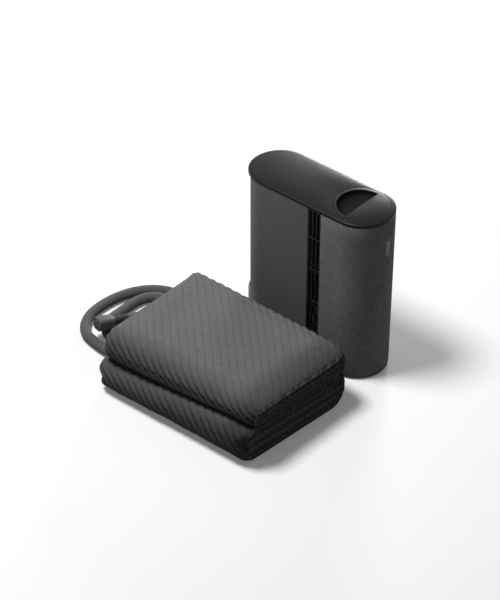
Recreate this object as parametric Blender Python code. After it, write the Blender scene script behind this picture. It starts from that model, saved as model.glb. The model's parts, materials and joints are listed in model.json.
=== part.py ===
"""Water cooling mattress pad: a standing hub with its water tank, and a folded quilted pad with its hose.

Metres, +Z up. The origin is on the floor, at the middle of the box round the hub and the folded pad.
+X runs along the hub towards its fabric end, and +Y from the pad to the hub.
"""
import math

import bmesh
import bpy
import numpy as np
from mathutils.geometry import delaunay_2d_cdt

# clearances and overruns
SEAM_GAP = 0.0003          # between pieces that touch
SLIDE_GAP = 0.0005         # round a piece that slides or turns
CUT_OVERRUN = 0.004        # how far a cutter passes its piece

# hub body
HUB_HEIGHT = 0.430
HUB_WIDTH = 0.149
HUB_LENGTH = 0.378
SHELL_WALL = 0.003
FOOT_HEIGHT = 0.003
FOOT_RADIUS = 0.010
FOOT_INSET = 0.030
BASE_RIM_HEIGHT = 0.0075
BASE_FLOOR = 0.003
BASE_INSET = 0.0008
CAP_HEIGHT = 0.0105
CAP_TOP = 0.003
CAP_ROUND = 0.0045
CAP_ROUND_WIDTH = 0.010
CAP_ROUND_STEPS = ((0.0, 0.62), (0.05, 0.38), (0.18, 0.22), (0.5, 0.07), (1.0, 0.0))   # shares of width, drop
CAP_HOLLOW_MARGIN = 0.004
FABRIC_THICK = 0.0012
VENT_FROM_REAR = 0.213
VENT_LENGTH = 0.036
ALCOVE_DEPTH = 0.0395

# vent grilles
MULLION = 0.0038
CROSS_BAR = 0.003
GRILLE_FIRST_ROW = 0.0756
GRILLE_ROW_PITCH = 0.0846
GRILLE_SLOTS = 3
GRILLE_RECESS = 0.0012

# rear panel
PANEL_THICK = 0.003
WINDOW_CLEAR = 0.0009      # beside the fans
WINDOW_EDGE = 0.0145
EXHAUST_SLOT_HEIGHT = 0.0065
EXHAUST_PITCH = 0.0115
EXHAUST_INSET = 0.004      # inside the fan's bore
SCREW_HEAD_RADIUS = 0.003
SCREW_HEAD_HEIGHT = 0.0018
SCREW_SHANK_RADIUS = 0.0015
SCREW_LENGTH = 0.009
SCREW_CROWN_SHARE = 0.8     # of the head's radius that its flat top has
SCREW_SIDE_SHARE = 0.6      # of the head's height below its rounding
SCREW_EDGE = 0.0065
SCREW_SIDE = 0.052
SCREW_SLOT_WIDTH = 0.0008
SCREW_SLOT_DEPTH = 0.0007

# fans
FAN_SIZE = 0.1194
FAN_DEPTH = 0.025
FAN_GAP = 0.0036           # between the two fans
FAN_TOP_DROP = 0.0145
FAN_RIM = 0.0027           # outside the bore
FAN_TIP_GAP = 0.0015
FAN_HUB_RADIUS = 0.019
FAN_HUB_LENGTH = 0.018
FAN_STRUT_THICK = 0.003
FAN_STRUT_WIDTH = 0.006
FAN_BLADES = 7
FAN_BLADE_THICK = 0.0016
FAN_BLADE_ROOT_SHARE = 0.9  # of the hub's radius where a blade starts, inside it
FAN_BLADE_CHORD = 0.022
FAN_BLADE_TILT = math.radians(52)
SHAFT_RADIUS = 0.003
SHAFT_LENGTH = 0.012

# cooler stack behind the fans
SINK_FIN_LENGTH = 0.044
SINK_BASE = 0.006
SINK_FINS = 17
SINK_FIN_THICK = 0.0014
SINK_WIDTH = 0.112
MODULE_SIZE = 0.040
MODULE_THICK = 0.004
PLATE_THICK = 0.012
PLATE_WIDTH = 0.084
SPIGOT_RADIUS = 0.004
SPIGOT_BORE = 0.0025
SPIGOT_LENGTH = 0.010
PLATE_PORT_RISE = 0.014
SUPPLY_PORT_SIDE = 0.034
RETURN_PORT_SIDE = 0.014

# hose socket, button and mains inlet in the rear panel
SOCKET_SIDE = -0.026
SOCKET_BELOW_FANS = 0.0048   # from the fans to the socket's flange
SHELF_BELOW_SOCKET = 0.0155  # from the flange to the alcove's floor
SOCKET_WALL = 0.004
SOCKET_FLANGE = 0.004
SOCKET_FLANGE_THICK = 0.002
SOCKET_DEPTH = 0.026
SOCKET_NOZZLE_GAP = 0.0004
SOCKET_NOZZLE_LENGTH = 0.012
SOCKET_SPIGOT_SIDE = 0.011
BUTTON_SIDE = 0.014
BUTTON_RADIUS = 0.0057
BUTTON_PROUD = 0.0035
BUTTON_BODY = 0.012
BUTTON_COLLAR = 0.0015
BUTTON_COLLAR_THICK = 0.0015
BUTTON_TRAVEL = 0.0025
INLET_SIDE = 0.041
INLET_WIDTH = 0.027
INLET_TALL = 0.020
INLET_WALL = 0.0025
INLET_DEPTH = 0.016
INLET_BLADE_WIDTH = 0.002
INLET_BLADE_TALL = 0.004
INLET_BLADE_LENGTH = 0.012
INLET_BLADE_PITCH = 0.007

# water tank, its lid and its well
LID_RADIUS = 0.0645
LID_SIDES = 48
LID_GAP = 0.0005
LID_PLATE = 0.004
LID_SKIRT = 0.022
LID_WALL = 0.0022
SCOOP_RADIUS = 0.0565
SCOOP_DEPTH = 0.036
SCOOP_UNDERCUT = 0.014
SCOOP_CORNER = 0.006
BOWL_FLOOR = 0.9999         # shares of the bowl's depth and radius kept at its lowest ring
BOWL_MIDDLE = 0.06
TANK_RADIUS = 0.0638
TANK_WALL = 0.002
TANK_FLOOR = 0.003
WELL_CLEARANCE = 0.0014
WELL_WALL = 0.0018
WELL_FLOOR = 0.003
WELL_HEIGHT = 0.130
WELL_PIN_RADIUS = 0.0035
WELL_PORT_SIDE = 0.034
SEAL_SECTION = 0.0012
SEAL_HEIGHT = 0.002
SEAL_GROOVE = 0.0012
SEAL_GAP = 0.0001
SEAL_DROP = 0.010
VALVE_HOLE_RADIUS = 0.007
VALVE_DISC_RADIUS = 0.0095
VALVE_DISC_THICK = 0.003
VALVE_STEM_RADIUS = 0.0028
VALVE_GUIDE_LENGTH = 0.013
VALVE_TRAVEL = 0.003
CAGE_RADIUS = 0.014
CAGE_WALL = 0.002
CAGE_HEIGHT = 0.026
CAGE_WINDOW = 0.010
SPRING_RADIUS = 0.0062
SPRING_WIRE = 0.0006
SPRING_TURNS = 5

# pumps, power supply and control board on the base tray
PUMP_RADIUS = 0.023
PUMP_HEIGHT = 0.050
PUMP_CHAMBER_RADIUS = 0.017
PUMP_CHAMBER_HEIGHT = 0.013
PUMP_CHAMBER_FLOOR = 0.012
IMPELLER_GAP = 0.0015
IMPELLER_VANES = 6
IMPELLER_DISC = 0.002
IMPELLER_VANE_HEIGHT = 0.007
IMPELLER_VANE_THICK = 0.0015
IMPELLER_BOSS = 0.005
PUMP_PIN_RADIUS = 0.002
SUPPLY_LENGTH = 0.060
SUPPLY_WIDTH = 0.048
SUPPLY_DROP = 0.046        # its top, under the fans
SUPPLY_FRONT = 0.012
SUPPLY_SLOTS = 6
SUPPLY_SLOT = 0.003
SUPPLY_WALL = 0.002
BOARD_LENGTH = 0.080
BOARD_HEIGHT = 0.120
BOARD_THICK = 0.0016
BOARD_STANDOFF = 0.004
BOARD_BOSS_RADIUS = 0.003
BOARD_BOSS_INSET = 0.007
BOARD_BOTTOM = 0.180
BOARD_FRONT = 0.010
BOARD_CHIP = 0.016
BOARD_CHIP_THICK = 0.002
POST_RADIUS = 0.005
POST_CIRCLE = 0.0594
POST_ANGLE = math.radians(60)
TUBE_POINT_PITCH = 0.009
TUBE_CORNER = 1 / 3          # share of a bend left at the middle point of a turn
TUBE_SAG = 0.8               # share of a bend by which the return tube drops first

# status light on the fabric end
LIGHT_WIDTH = 0.014
LIGHT_TALL = 0.040
LIGHT_DROP = 0.080         # its middle, under the hub's top
LIGHT_PROUD = 0.0003

# folded pad
PAD_DEPTH = 0.3475
PAD_LENGTH = 0.4315
PAD_HEIGHT = 0.165
UPPER_BACK_OFF = 0.0155    # upper leaf stops short of the lower one at the front
UPPER_LEFT_OFF = 0.0075    # and at the hose end
FAR_END_PULL = 0.007       # how far the front of the far end lies back along the pad
LOWER_END_PULL = 0.019     # and how much more in the lower leaf
STILL_REACH = 0.052        # from the hose end, within which nothing is pulled
COVER_THICK = 0.0225
LEAF_GAP = 0.0003
SPINE_REACH = 0.045
PAD_CROWN = 0.005
EDGE_ROUND = 0.011
CHANNEL_PITCH = 0.0176     # square to the sewn channels
CHANNEL_ANGLE = math.radians(49)
CHANNEL_DEPTH = 0.0016
HIDDEN_STEPS = 3
ROLL_STEPS = 8
TOP_STEPS = 6
SPINE_STEPS = 8
FLOOR_STEPS = 4
UNDERSIDE_SHARE = 0.9      # faces looking down more than this are left plain
GRID_INSET = 0.003
GRID_HOSE_INSET = 0.026
SIDE_STEPS = (0.25, 0.5, 0.75)   # where the pad's plain rows have points between their ends
LOW_SPINE = 1 / 3            # share of the pad's height below which the fold has plain rows
GRID_FOLD_REACH = 0.003    # of its inner side behind the leaves' ends, at the fold
MANIFOLD_WIDTH = 0.070
MANIFOLD_LENGTH = 0.024
MANIFOLD_ROUND = 0.006
MANIFOLD_FROM_FRONT = 0.099
STANDING_GAP = 0.0408      # between the pad and the hub
HUB_SHIFT = 0.0300         # hub centre from the set's middle
PAD_SHIFT = -0.0035        # and the pad's

# hose, its boots and the connector
HOSE_DIAMETER = 0.025
HOSE_POINT_PITCH = 0.022
BOOT_LENGTH = 0.026
BOOT_RADIUS = 0.0142
BOOT_END_RADIUS = 0.0132
BOOT_STEPS = 6
CONNECTOR_WIDTH = 0.035
CONNECTOR_TALL = 0.030
CONNECTOR_LENGTH = 0.042
CONNECTOR_CORNER = 0.010
CONNECTOR_WALL = 0.0025
CONNECTOR_BOOT = 0.036
CONNECTOR_ROUND = 0.003
CORNER_SHARE = 0.9         # of a ring's inset that its corners lose too
ROUND_SHARE = 0.97         # of the half width that a boot's corners take
PORT_RADIUS = 0.0025
PORT_DEPTH = 0.014
PORT_ROW_PITCH = 0.012
PORT_COLUMN_PITCH = 0.0085
PORT_STAGGER = 0.003       # the middle column sits lower and the outer ones higher
BLOCK_LENGTH = 0.024
BLOCK_RECESS = 0.0008

# the hose's route from the pad to the connector, chosen by hand, x, y and z of its middle
HOSE_ROUTE = [
    (-0.2359, -0.1698, 0.0402),
    (-0.2487, -0.1698, 0.0372),
    (-0.2600, -0.1699, 0.0325),
    (-0.2713, -0.1702, 0.0264),
    (-0.2829, -0.1703, 0.0194),
    (-0.2964, -0.1700, 0.0148),
    (-0.3136, -0.1690, 0.0129),
    (-0.3419, -0.1653, 0.0128),
    (-0.3724, -0.1577, 0.0128),
    (-0.3979, -0.1387, 0.0128),
    (-0.4174, -0.1055, 0.0128),
    (-0.4244, -0.0643, 0.0128),
    (-0.4214, -0.0219, 0.0128),
    (-0.4095, 0.0198, 0.0128),
    (-0.3882, 0.0543, 0.0128),
    (-0.3589, 0.0798, 0.0128),
    (-0.3241, 0.0923, 0.0128),
    (-0.2905, 0.0886, 0.0128),
    (-0.2648, 0.0679, 0.0128),
    (-0.2522, 0.0341, 0.0128),
    (-0.2504, -0.0058, 0.0128),
    (-0.2527, -0.0439, 0.0128),
    (-0.2594, -0.0843, 0.0128),
    (-0.2699, -0.1067, 0.0128),
    (-0.2894, -0.1223, 0.0128),
    (-0.3146, -0.1279, 0.0128),
    (-0.3400, -0.1223, 0.0128),
    (-0.3600, -0.1067, 0.0128),
    (-0.3708, -0.0843, 0.0128),
    (-0.3735, -0.0509, 0.0128),
    (-0.3745, -0.0158, 0.0128),
    (-0.3724, 0.0155, 0.0128),
    (-0.3642, 0.0370, 0.0128),
    (-0.3479, 0.0535, 0.0128),
    (-0.3255, 0.0605, 0.0133),
    (-0.3024, 0.0568, 0.0142),
    (-0.2845, 0.0441, 0.0152),
    (-0.2782, 0.0212, 0.0166),
    (-0.2826, 0.0017, 0.0186),
    (-0.2951, -0.0141, 0.0214),
]
CONNECTOR_NOSE = (-0.3527, -0.1450, 0.0467)
CONNECTOR_AIM = math.radians(70)
CONNECTOR_DIP = math.radians(10)
CONNECTOR_ROLL = math.radians(-8)


def clear_scene():
    for obj in list(bpy.data.objects):
        bpy.data.objects.remove(obj, do_unlink=True)


def material(name, colour, roughness, metallic=0.0):
    mat = bpy.data.materials.new(name)
    mat.use_nodes = True
    shader = mat.node_tree.nodes["Principled BSDF"]
    shader.inputs["Base Color"].default_value = (*colour, 1.0)
    shader.inputs["Roughness"].default_value = roughness
    shader.inputs["Metallic"].default_value = metallic
    mat.diffuse_color = (*colour, 1.0)
    return mat


# shapes are pairs of corner list and face list, faces turned outwards


def prism(outline, low, high):
    count = len(outline)
    corners = [(x, y, low) for x, y in outline] + [(x, y, high) for x, y in outline]
    faces = [tuple(reversed(range(count))), tuple(range(count, 2 * count))]
    faces += [(i, (i + 1) % count, (i + 1) % count + count, i + count) for i in range(count)]
    return corners, faces


def loft(rings):
    count = len(rings[0])
    corners = [corner for ring in rings for corner in ring]
    faces = [tuple(reversed(range(count)))]
    for level in range(len(rings) - 1):
        start = level * count
        faces += [(start + i, start + (i + 1) % count, start + (i + 1) % count + count, start + i + count)
                  for i in range(count)]
    faces.append(tuple(range((len(rings) - 1) * count, len(rings) * count)))
    return corners, faces


def box(x0, x1, y0, y1, z0, z1):
    return prism([(x0, y0), (x1, y0), (x1, y1), (x0, y1)], z0, z1)


def circle(radius, count, cx=0.0, cy=0.0):
    turn = 2 * math.pi / count
    return [(cx + radius * math.cos(i * turn), cy + radius * math.sin(i * turn)) for i in range(count)]


def arc(cx, cy, radius, start, end, count):
    return [(cx + radius * math.cos(start + (end - start) * i / count),
             cy + radius * math.sin(start + (end - start) * i / count)) for i in range(count + 1)]


def cylinder(radius, low, high, cx=0.0, cy=0.0, count=24):
    return prism(circle(radius, count, cx, cy), low, high)


def turned(profile, cx=0.0, cy=0.0, count=32):
    """Ring with a closed section: profile is radius and height, going round the section anticlockwise."""
    size = len(profile)
    corners = [(cx + r * math.cos(2 * math.pi * i / count), cy + r * math.sin(2 * math.pi * i / count), z)
               for i in range(count) for r, z in profile]
    faces = []
    for i in range(count):
        for k in range(size):
            a, b = i * size + k, i * size + (k + 1) % size
            c, d = ((i + 1) % count) * size + (k + 1) % size, ((i + 1) % count) * size + k
            faces.append((a, d, c, b))
    return corners, faces


def spindle(profile, cx=0.0, cy=0.0, count=16):
    """Solid turned round Z: profile is radius and height from the bottom to the top, no point on the axis."""
    return loft([[(x, y, z) for x, y in circle(r, count, cx, cy)] for r, z in profile])


def ring(inner, outer, low, high, cx=0.0, count=24):
    return turned([(inner, low), (outer, low), (outer, high), (inner, high)], cx, 0.0, count)


def along_x(shape):
    """Turns a shape drawn along Z so that it runs along X: its x becomes Y and its y becomes Z."""
    corners, faces = shape
    return [(z, x, y) for x, y, z in corners], faces


def along_y(shape):
    """Turns a shape drawn along Z so that it runs along Y: its x becomes Z and its y becomes X."""
    corners, faces = shape
    return [(y, z, x) for x, y, z in corners], faces


def moved(shape, dx=0.0, dy=0.0, dz=0.0):
    corners, faces = shape
    return [(x + dx, y + dy, z + dz) for x, y, z in corners], faces


def spun(shape, angle):
    """Turns a shape round Z."""
    corners, faces = shape
    c, s = math.cos(angle), math.sin(angle)
    return [(x * c - y * s, x * s + y * c, z) for x, y, z in corners], faces


def together(*shapes):
    corners, faces = [], []
    for part_corners, part_faces in shapes:
        start = len(corners)
        corners += part_corners
        faces += [tuple(start + i for i in face) for face in part_faces]
    return corners, faces


def rounded_rectangle(width, tall, corner, cx=0.0, cy=0.0, count=4):
    outline = []
    for quarter, (sx, sy) in enumerate([(1, 1), (-1, 1), (-1, -1), (1, -1)]):
        start = quarter * math.pi / 2
        outline += arc(cx + sx * (width / 2 - corner), cy + sy * (tall / 2 - corner), corner,
                       start, start + math.pi / 2, count)
    return outline


def stadium(inset=0.0, count=16):
    """The hub's outline in plan, drawn in by inset."""
    radius = HUB_WIDTH / 2 - inset
    return (arc(END_CENTRE, 0.0, radius, -math.pi / 2, math.pi / 2, count)
            + arc(-END_CENTRE, 0.0, radius, math.pi / 2, 3 * math.pi / 2, count))


def mesh_object(name, shape, mat, parent, at=(0.0, 0.0, 0.0), sharp=math.radians(35)):
    """One named piece. The shape is in its parent's frame, and the origin is at the point given."""
    corners, faces = shape
    mesh = bpy.data.meshes.new(name)
    mesh.from_pydata([(x - at[0], y - at[1], z - at[2]) for x, y, z in corners], [], faces)
    mesh.validate()
    mesh.shade_smooth()
    mesh.set_sharp_from_angle(angle=sharp)
    obj = bpy.data.objects.new(name, mesh)
    obj.location = at
    obj.parent = parent
    bpy.context.scene.collection.objects.link(obj)
    if mat is not None:
        mesh.materials.append(mat)
    return obj


def work(obj, shape, operation, index=[0]):
    """Adds a Boolean to a piece. The tool's shape is in the same frame as the piece's own."""
    index[0] += 1
    tool = mesh_object(f"tool_{index[0]:03d}", shape, None, obj.parent)
    tool.hide_render = True
    tool.display_type = "WIRE"
    modifier = obj.modifiers.new(operation.lower(), "BOOLEAN")
    modifier.operation = operation
    modifier.solver = "EXACT"
    modifier.object = tool


def cut(obj, *shapes):
    for shape in shapes:
        work(obj, shape, "DIFFERENCE")


def add(obj, *shapes):
    for shape in shapes:
        work(obj, shape, "UNION")


def keep(obj, shape):
    work(obj, shape, "INTERSECT")


def empty(name, at, parent=None):
    obj = bpy.data.objects.new(name, None)
    obj.location = at
    obj.parent = parent
    bpy.context.scene.collection.objects.link(obj)
    return obj


def tube_object(name, points, radius, mat, parent, resolution=2):
    """A tube on straight segments through the points, with closed ends."""
    curve = bpy.data.curves.new(name, "CURVE")
    curve.dimensions = "3D"
    curve.bevel_depth = radius
    curve.bevel_resolution = resolution
    curve.use_fill_caps = True
    line = curve.splines.new("POLY")
    line.points.add(len(points) - 1)
    for point, place in zip(line.points, points):
        point.co = (*place, 1.0)
    obj = bpy.data.objects.new(name, curve)
    obj.parent = parent
    bpy.context.scene.collection.objects.link(obj)
    curve.materials.append(mat)
    return obj


def smooth_line(points, spacing):
    """Natural cubic through the points on their chord lengths, then points at even spacing along it."""
    given = np.array(points, float)
    chord = np.linalg.norm(np.diff(given, axis=0), axis=1)
    at = np.concatenate([[0.0], np.cumsum(chord)])
    count = len(given)
    bend = np.zeros((count, count))
    load = np.zeros((count, 3))
    bend[0, 0] = bend[-1, -1] = 1.0
    for i in range(1, count - 1):
        bend[i, i - 1:i + 2] = chord[i - 1], 2 * (chord[i - 1] + chord[i]), chord[i]
        load[i] = 6 * ((given[i + 1] - given[i]) / chord[i] - (given[i] - given[i - 1]) / chord[i - 1])
    curvature = np.linalg.solve(bend, load)
    fine = np.linspace(0.0, at[-1], 40 * count)
    k = np.clip(np.searchsorted(at, fine, side="right") - 1, 0, count - 2)
    ahead, behind, span = (at[k + 1] - fine)[:, None], (fine - at[k])[:, None], chord[k][:, None]
    line = ((curvature[k] * ahead ** 3 + curvature[k + 1] * behind ** 3) / (6 * span)
            + (given[k] / span - curvature[k] * span / 6) * ahead
            + (given[k + 1] / span - curvature[k + 1] * span / 6) * behind)
    length = np.concatenate([[0.0], np.cumsum(np.linalg.norm(np.diff(line, axis=0), axis=1))])
    steps = max(2, round(length[-1] / spacing))
    even = np.linspace(0.0, length[-1], steps + 1)
    return np.stack([np.interp(even, length, line[:, axis]) for axis in range(3)], axis=1)


# places worked out from the sizes above
HUB_RADIUS = HUB_WIDTH / 2
END_CENTRE = HUB_LENGTH / 2 - HUB_RADIUS
CAP_SEAM = HUB_HEIGHT - CAP_HEIGHT
BODY_TOP = CAP_SEAM - SEAM_GAP
TRAY_TOP = FOOT_HEIGHT + BASE_RIM_HEIGHT
TRAY_FLOOR = FOOT_HEIGHT + BASE_FLOOR
BODY_BOTTOM = TRAY_TOP + SEAM_GAP
VENT_REAR = -HUB_LENGTH / 2 + VENT_FROM_REAR
VENT_FRONT = VENT_REAR + VENT_LENGTH
PANEL_FACE = -HUB_LENGTH / 2 + ALCOVE_DEPTH
PANEL_BACK = PANEL_FACE + PANEL_THICK
LIP_FACE = PANEL_BACK + SEAM_GAP
LIP_BACK = LIP_FACE + SHELL_WALL
WINDOW_HIGH = BODY_TOP - FAN_TOP_DROP + SLIDE_GAP
WINDOW_HALF_WIDTH = FAN_SIZE / 2 + WINDOW_CLEAR
FAN_FACE = PANEL_BACK + SEAM_GAP
FAN_BACK = FAN_FACE + FAN_DEPTH
FAN_HIGH = WINDOW_HIGH - SLIDE_GAP - FAN_SIZE / 2
FAN_HEIGHTS = {"upper": FAN_HIGH, "lower": FAN_HIGH - FAN_SIZE - FAN_GAP}
FAN_LOW_EDGE = FAN_HEIGHTS["lower"] - FAN_SIZE / 2
FAN_BORE_RADIUS = FAN_SIZE / 2 - FAN_RIM
EXHAUST_RADIUS = FAN_BORE_RADIUS - EXHAUST_INSET
EXHAUST_SLOTS = 2 * int((EXHAUST_RADIUS - EXHAUST_SLOT_HEIGHT) / EXHAUST_PITCH) + 1
SINK_TIP = FAN_BACK + SEAM_GAP
SINK_BACK = SINK_TIP + SINK_FIN_LENGTH + SINK_BASE
MODULE_FACE = SINK_BACK + SEAM_GAP
PLATE_FACE = MODULE_FACE + MODULE_THICK + SEAM_GAP
PLATE_BACK = PLATE_FACE + PLATE_THICK
PORT_HEIGHT = FAN_LOW_EDGE + PLATE_PORT_RISE
WELL_RADIUS = TANK_RADIUS + WELL_CLEARANCE
WELL_TOP_FLOOR = WELL_HEIGHT + WELL_FLOOR
TANK_BOTTOM = WELL_TOP_FLOOR + SLIDE_GAP
TANK_TOP_FLOOR = TANK_BOTTOM + TANK_FLOOR
LID_UNDER = HUB_HEIGHT - LID_PLATE
TANK_TOP = LID_UNDER - SEAM_GAP
LID_SKIRT_RADIUS = TANK_RADIUS - TANK_WALL - SEAM_GAP
PUMP_TOP = TRAY_FLOOR + SEAM_GAP + PUMP_HEIGHT
PUMP_CHAMBER_LOW = TRAY_FLOOR + SEAM_GAP + PUMP_CHAMBER_FLOOR
SOCKET_WIDTH = CONNECTOR_WIDTH + 2 * SLIDE_GAP
SOCKET_TALL = CONNECTOR_TALL + 2 * SLIDE_GAP
SOCKET_BACK = PANEL_FACE + SOCKET_DEPTH + SOCKET_WALL
SOCKET_REACH = SOCKET_TALL / 2 + SOCKET_WALL + SOCKET_FLANGE
SOCKET_HEIGHT = FAN_LOW_EDGE - SOCKET_BELOW_FANS - SOCKET_REACH
SHELF_HEIGHT = SOCKET_HEIGHT - SOCKET_REACH - SHELF_BELOW_SOCKET
WINDOW_LOW = SHELF_HEIGHT + WINDOW_EDGE
SUPPLY_LOW = TRAY_FLOOR + SEAM_GAP
SUPPLY_HEIGHT = FAN_LOW_EDGE - SUPPLY_DROP - SUPPLY_LOW
LIGHT_HEIGHT = HUB_HEIGHT - LIGHT_DROP
SET_DEPTH = PAD_DEPTH + STANDING_GAP + HUB_WIDTH
PAD_MIDDLE = -SET_DEPTH / 2 + PAD_DEPTH / 2
HUB_MIDDLE = SET_DEPTH / 2 - HUB_RADIUS
LEAF_RADIUS = (PAD_HEIGHT - LEAF_GAP) / 4


def ends_at_radius(radius, x):
    """Half width of the rear end's circle at a given x."""
    return math.sqrt(radius ** 2 - (x + END_CENTRE) ** 2)


def make_materials():
    return {
        "hub_plastic": material("hub_plastic", (0.045, 0.045, 0.047), 0.45),
        "base_plastic": material("base_plastic", (0.02, 0.02, 0.021), 0.55),
        "vent_plastic": material("vent_plastic", (0.05, 0.05, 0.052), 0.5),
        "hub_fabric": material("hub_fabric", (0.075, 0.075, 0.078), 0.9),
        "rubber": material("rubber", (0.015, 0.015, 0.015), 0.8),
        "light_lens": material("light_lens", (0.35, 0.36, 0.37), 0.35),
        "steel": material("steel", (0.55, 0.55, 0.56), 0.3, 1.0),
        "aluminium": material("aluminium", (0.7, 0.7, 0.72), 0.35, 1.0),
        "ceramic": material("ceramic", (0.75, 0.74, 0.7), 0.5),
        "board": material("board", (0.02, 0.16, 0.07), 0.5),
        "inner_plastic": material("inner_plastic", (0.08, 0.08, 0.085), 0.5),
        "tank_plastic": material("tank_plastic", (0.22, 0.24, 0.26), 0.25),
        "seal_rubber": material("seal_rubber", (0.35, 0.35, 0.36), 0.7),
        "silicone": material("silicone", (0.5, 0.5, 0.52), 0.5),
        "pad_fabric": material("pad_fabric", (0.15, 0.15, 0.148), 0.9),
        "grid_fabric": material("grid_fabric", (0.1, 0.1, 0.1), 0.9),
        "hose_sleeve": material("hose_sleeve", (0.1, 0.1, 0.1), 0.6),
        "connector_plastic": material("connector_plastic", (0.11, 0.11, 0.11), 0.45),
    }


def make_base(hub, mats):
    tray = mesh_object("base_tray", prism(stadium(BASE_INSET), FOOT_HEIGHT, TRAY_TOP),
                       mats["base_plastic"], hub)
    cut(tray, prism(stadium(BASE_INSET + SHELL_WALL), TRAY_FLOOR, TRAY_TOP + CUT_OVERRUN))
    sunk = TRAY_FLOOR - BASE_FLOOR / 2
    ahead, aside = POST_CIRCLE * math.cos(POST_ANGLE), POST_CIRCLE * math.sin(POST_ANGLE)
    posts = [cylinder(POST_RADIUS, sunk, WELL_HEIGHT - SEAM_GAP, END_CENTRE + sx * ahead, sy * aside, 12)
             for sx in (-1, 1) for sy in (-1, 1)]
    stand = box(SINK_BACK - SINK_BASE, SINK_BACK, -SINK_WIDTH / 2, SINK_WIDTH / 2,
                sunk, FAN_LOW_EDGE - SEAM_GAP)
    add(tray, together(*posts, stand))
    cut(tray, box(SINK_BACK - SINK_BASE - CUT_OVERRUN, SINK_BACK + CUT_OVERRUN,
                  -SINK_WIDTH / 2 + SINK_BASE, SINK_WIDTH / 2 - SINK_BASE,
                  TRAY_FLOOR + SHELL_WALL, FAN_LOW_EDGE - SEAM_GAP - SINK_BASE))
    side_y = HUB_RADIUS - FOOT_INSET
    for end, sx in (("rear", -1), ("front", 1)):
        for hand, sy in (("right", -1), ("left", 1)):
            shape = cylinder(FOOT_RADIUS, 0.0, FOOT_HEIGHT - SEAM_GAP, sx * END_CENTRE, sy * side_y, 20)
            mesh_object(f"foot_{end}_{hand}", shape, mats["rubber"], hub)


def make_rear_shell(hub, mats):
    radius = HUB_RADIUS
    outer = [(VENT_REAR, -radius), (VENT_REAR, radius)] + \
        arc(-END_CENTRE, 0.0, radius, math.pi / 2, 3 * math.pi / 2, 24)
    inner_radius = radius - SHELL_WALL
    inner = [(VENT_REAR + CUT_OVERRUN, -inner_radius), (VENT_REAR + CUT_OVERRUN, inner_radius)] + \
        arc(-END_CENTRE, 0.0, inner_radius, math.pi / 2, 3 * math.pi / 2, 24)
    shell = mesh_object("rear_shell", prism(outer, BODY_BOTTOM, BODY_TOP), mats["hub_plastic"], hub)
    cut(shell, prism(inner, BODY_BOTTOM - CUT_OVERRUN, SHELF_HEIGHT - SHELL_WALL))
    lip_angle = math.acos((LIP_BACK + END_CENTRE) / inner_radius)
    upper = [(VENT_REAR + CUT_OVERRUN, -inner_radius), (VENT_REAR + CUT_OVERRUN, inner_radius)] + \
        arc(-END_CENTRE, 0.0, inner_radius, math.pi / 2, lip_angle, 6) + \
        arc(-END_CENTRE, 0.0, inner_radius, 2 * math.pi - lip_angle, 3 * math.pi / 2, 6)
    cut(shell, prism(upper, SHELF_HEIGHT - SHELL_WALL - CUT_OVERRUN, BODY_TOP + CUT_OVERRUN))
    cut(shell, box(-HUB_LENGTH / 2 - CUT_OVERRUN, LIP_FACE, -radius - CUT_OVERRUN, radius + CUT_OVERRUN,
                   SHELF_HEIGHT, BODY_TOP + CUT_OVERRUN))
    cut(shell, box(LIP_FACE - CUT_OVERRUN, LIP_BACK + CUT_OVERRUN, -WINDOW_HALF_WIDTH, WINDOW_HALF_WIDTH,
                   WINDOW_LOW, WINDOW_HIGH))
    wall = inner_radius + SHELL_WALL / 2
    bosses = [along_y(cylinder(BOARD_BOSS_RADIUS, inner_radius - BOARD_STANDOFF, wall,
                               z, x, 12)) for x, z in board_holes()]
    add(shell, together(*bosses))
    holes = [along_x(cylinder(SCREW_SHANK_RADIUS + SEAM_GAP, LIP_FACE - CUT_OVERRUN,
                              LIP_BACK + CUT_OVERRUN, y, z, 12)) for y, z in screw_places()]
    cut(shell, together(*holes))


def board_holes():
    """Corners where the control board stands off the side wall, as x and z."""
    return [(BOARD_FRONT - BOARD_BOSS_INSET - run * (BOARD_LENGTH - 2 * BOARD_BOSS_INSET),
             BOARD_BOTTOM + BOARD_BOSS_INSET + rise * (BOARD_HEIGHT - 2 * BOARD_BOSS_INSET))
            for run in (0, 1) for rise in (0, 1)]


def screw_places():
    """Rear panel screws, as y and z."""
    return [(side * SCREW_SIDE, z) for z in (SHELF_HEIGHT + SCREW_EDGE, BODY_TOP - SCREW_EDGE)
            for side in (-1, 1)]


def half_band(start, outer, inner, count=20):
    """The front end's band in plan: two straight flanks from start and the round end between them."""
    return ([(start, -outer)] + arc(END_CENTRE, 0.0, outer, -math.pi / 2, math.pi / 2, count)
            + [(start, outer), (start, inner)]
            + arc(END_CENTRE, 0.0, inner, math.pi / 2, -math.pi / 2, count) + [(start, -inner)])


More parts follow.
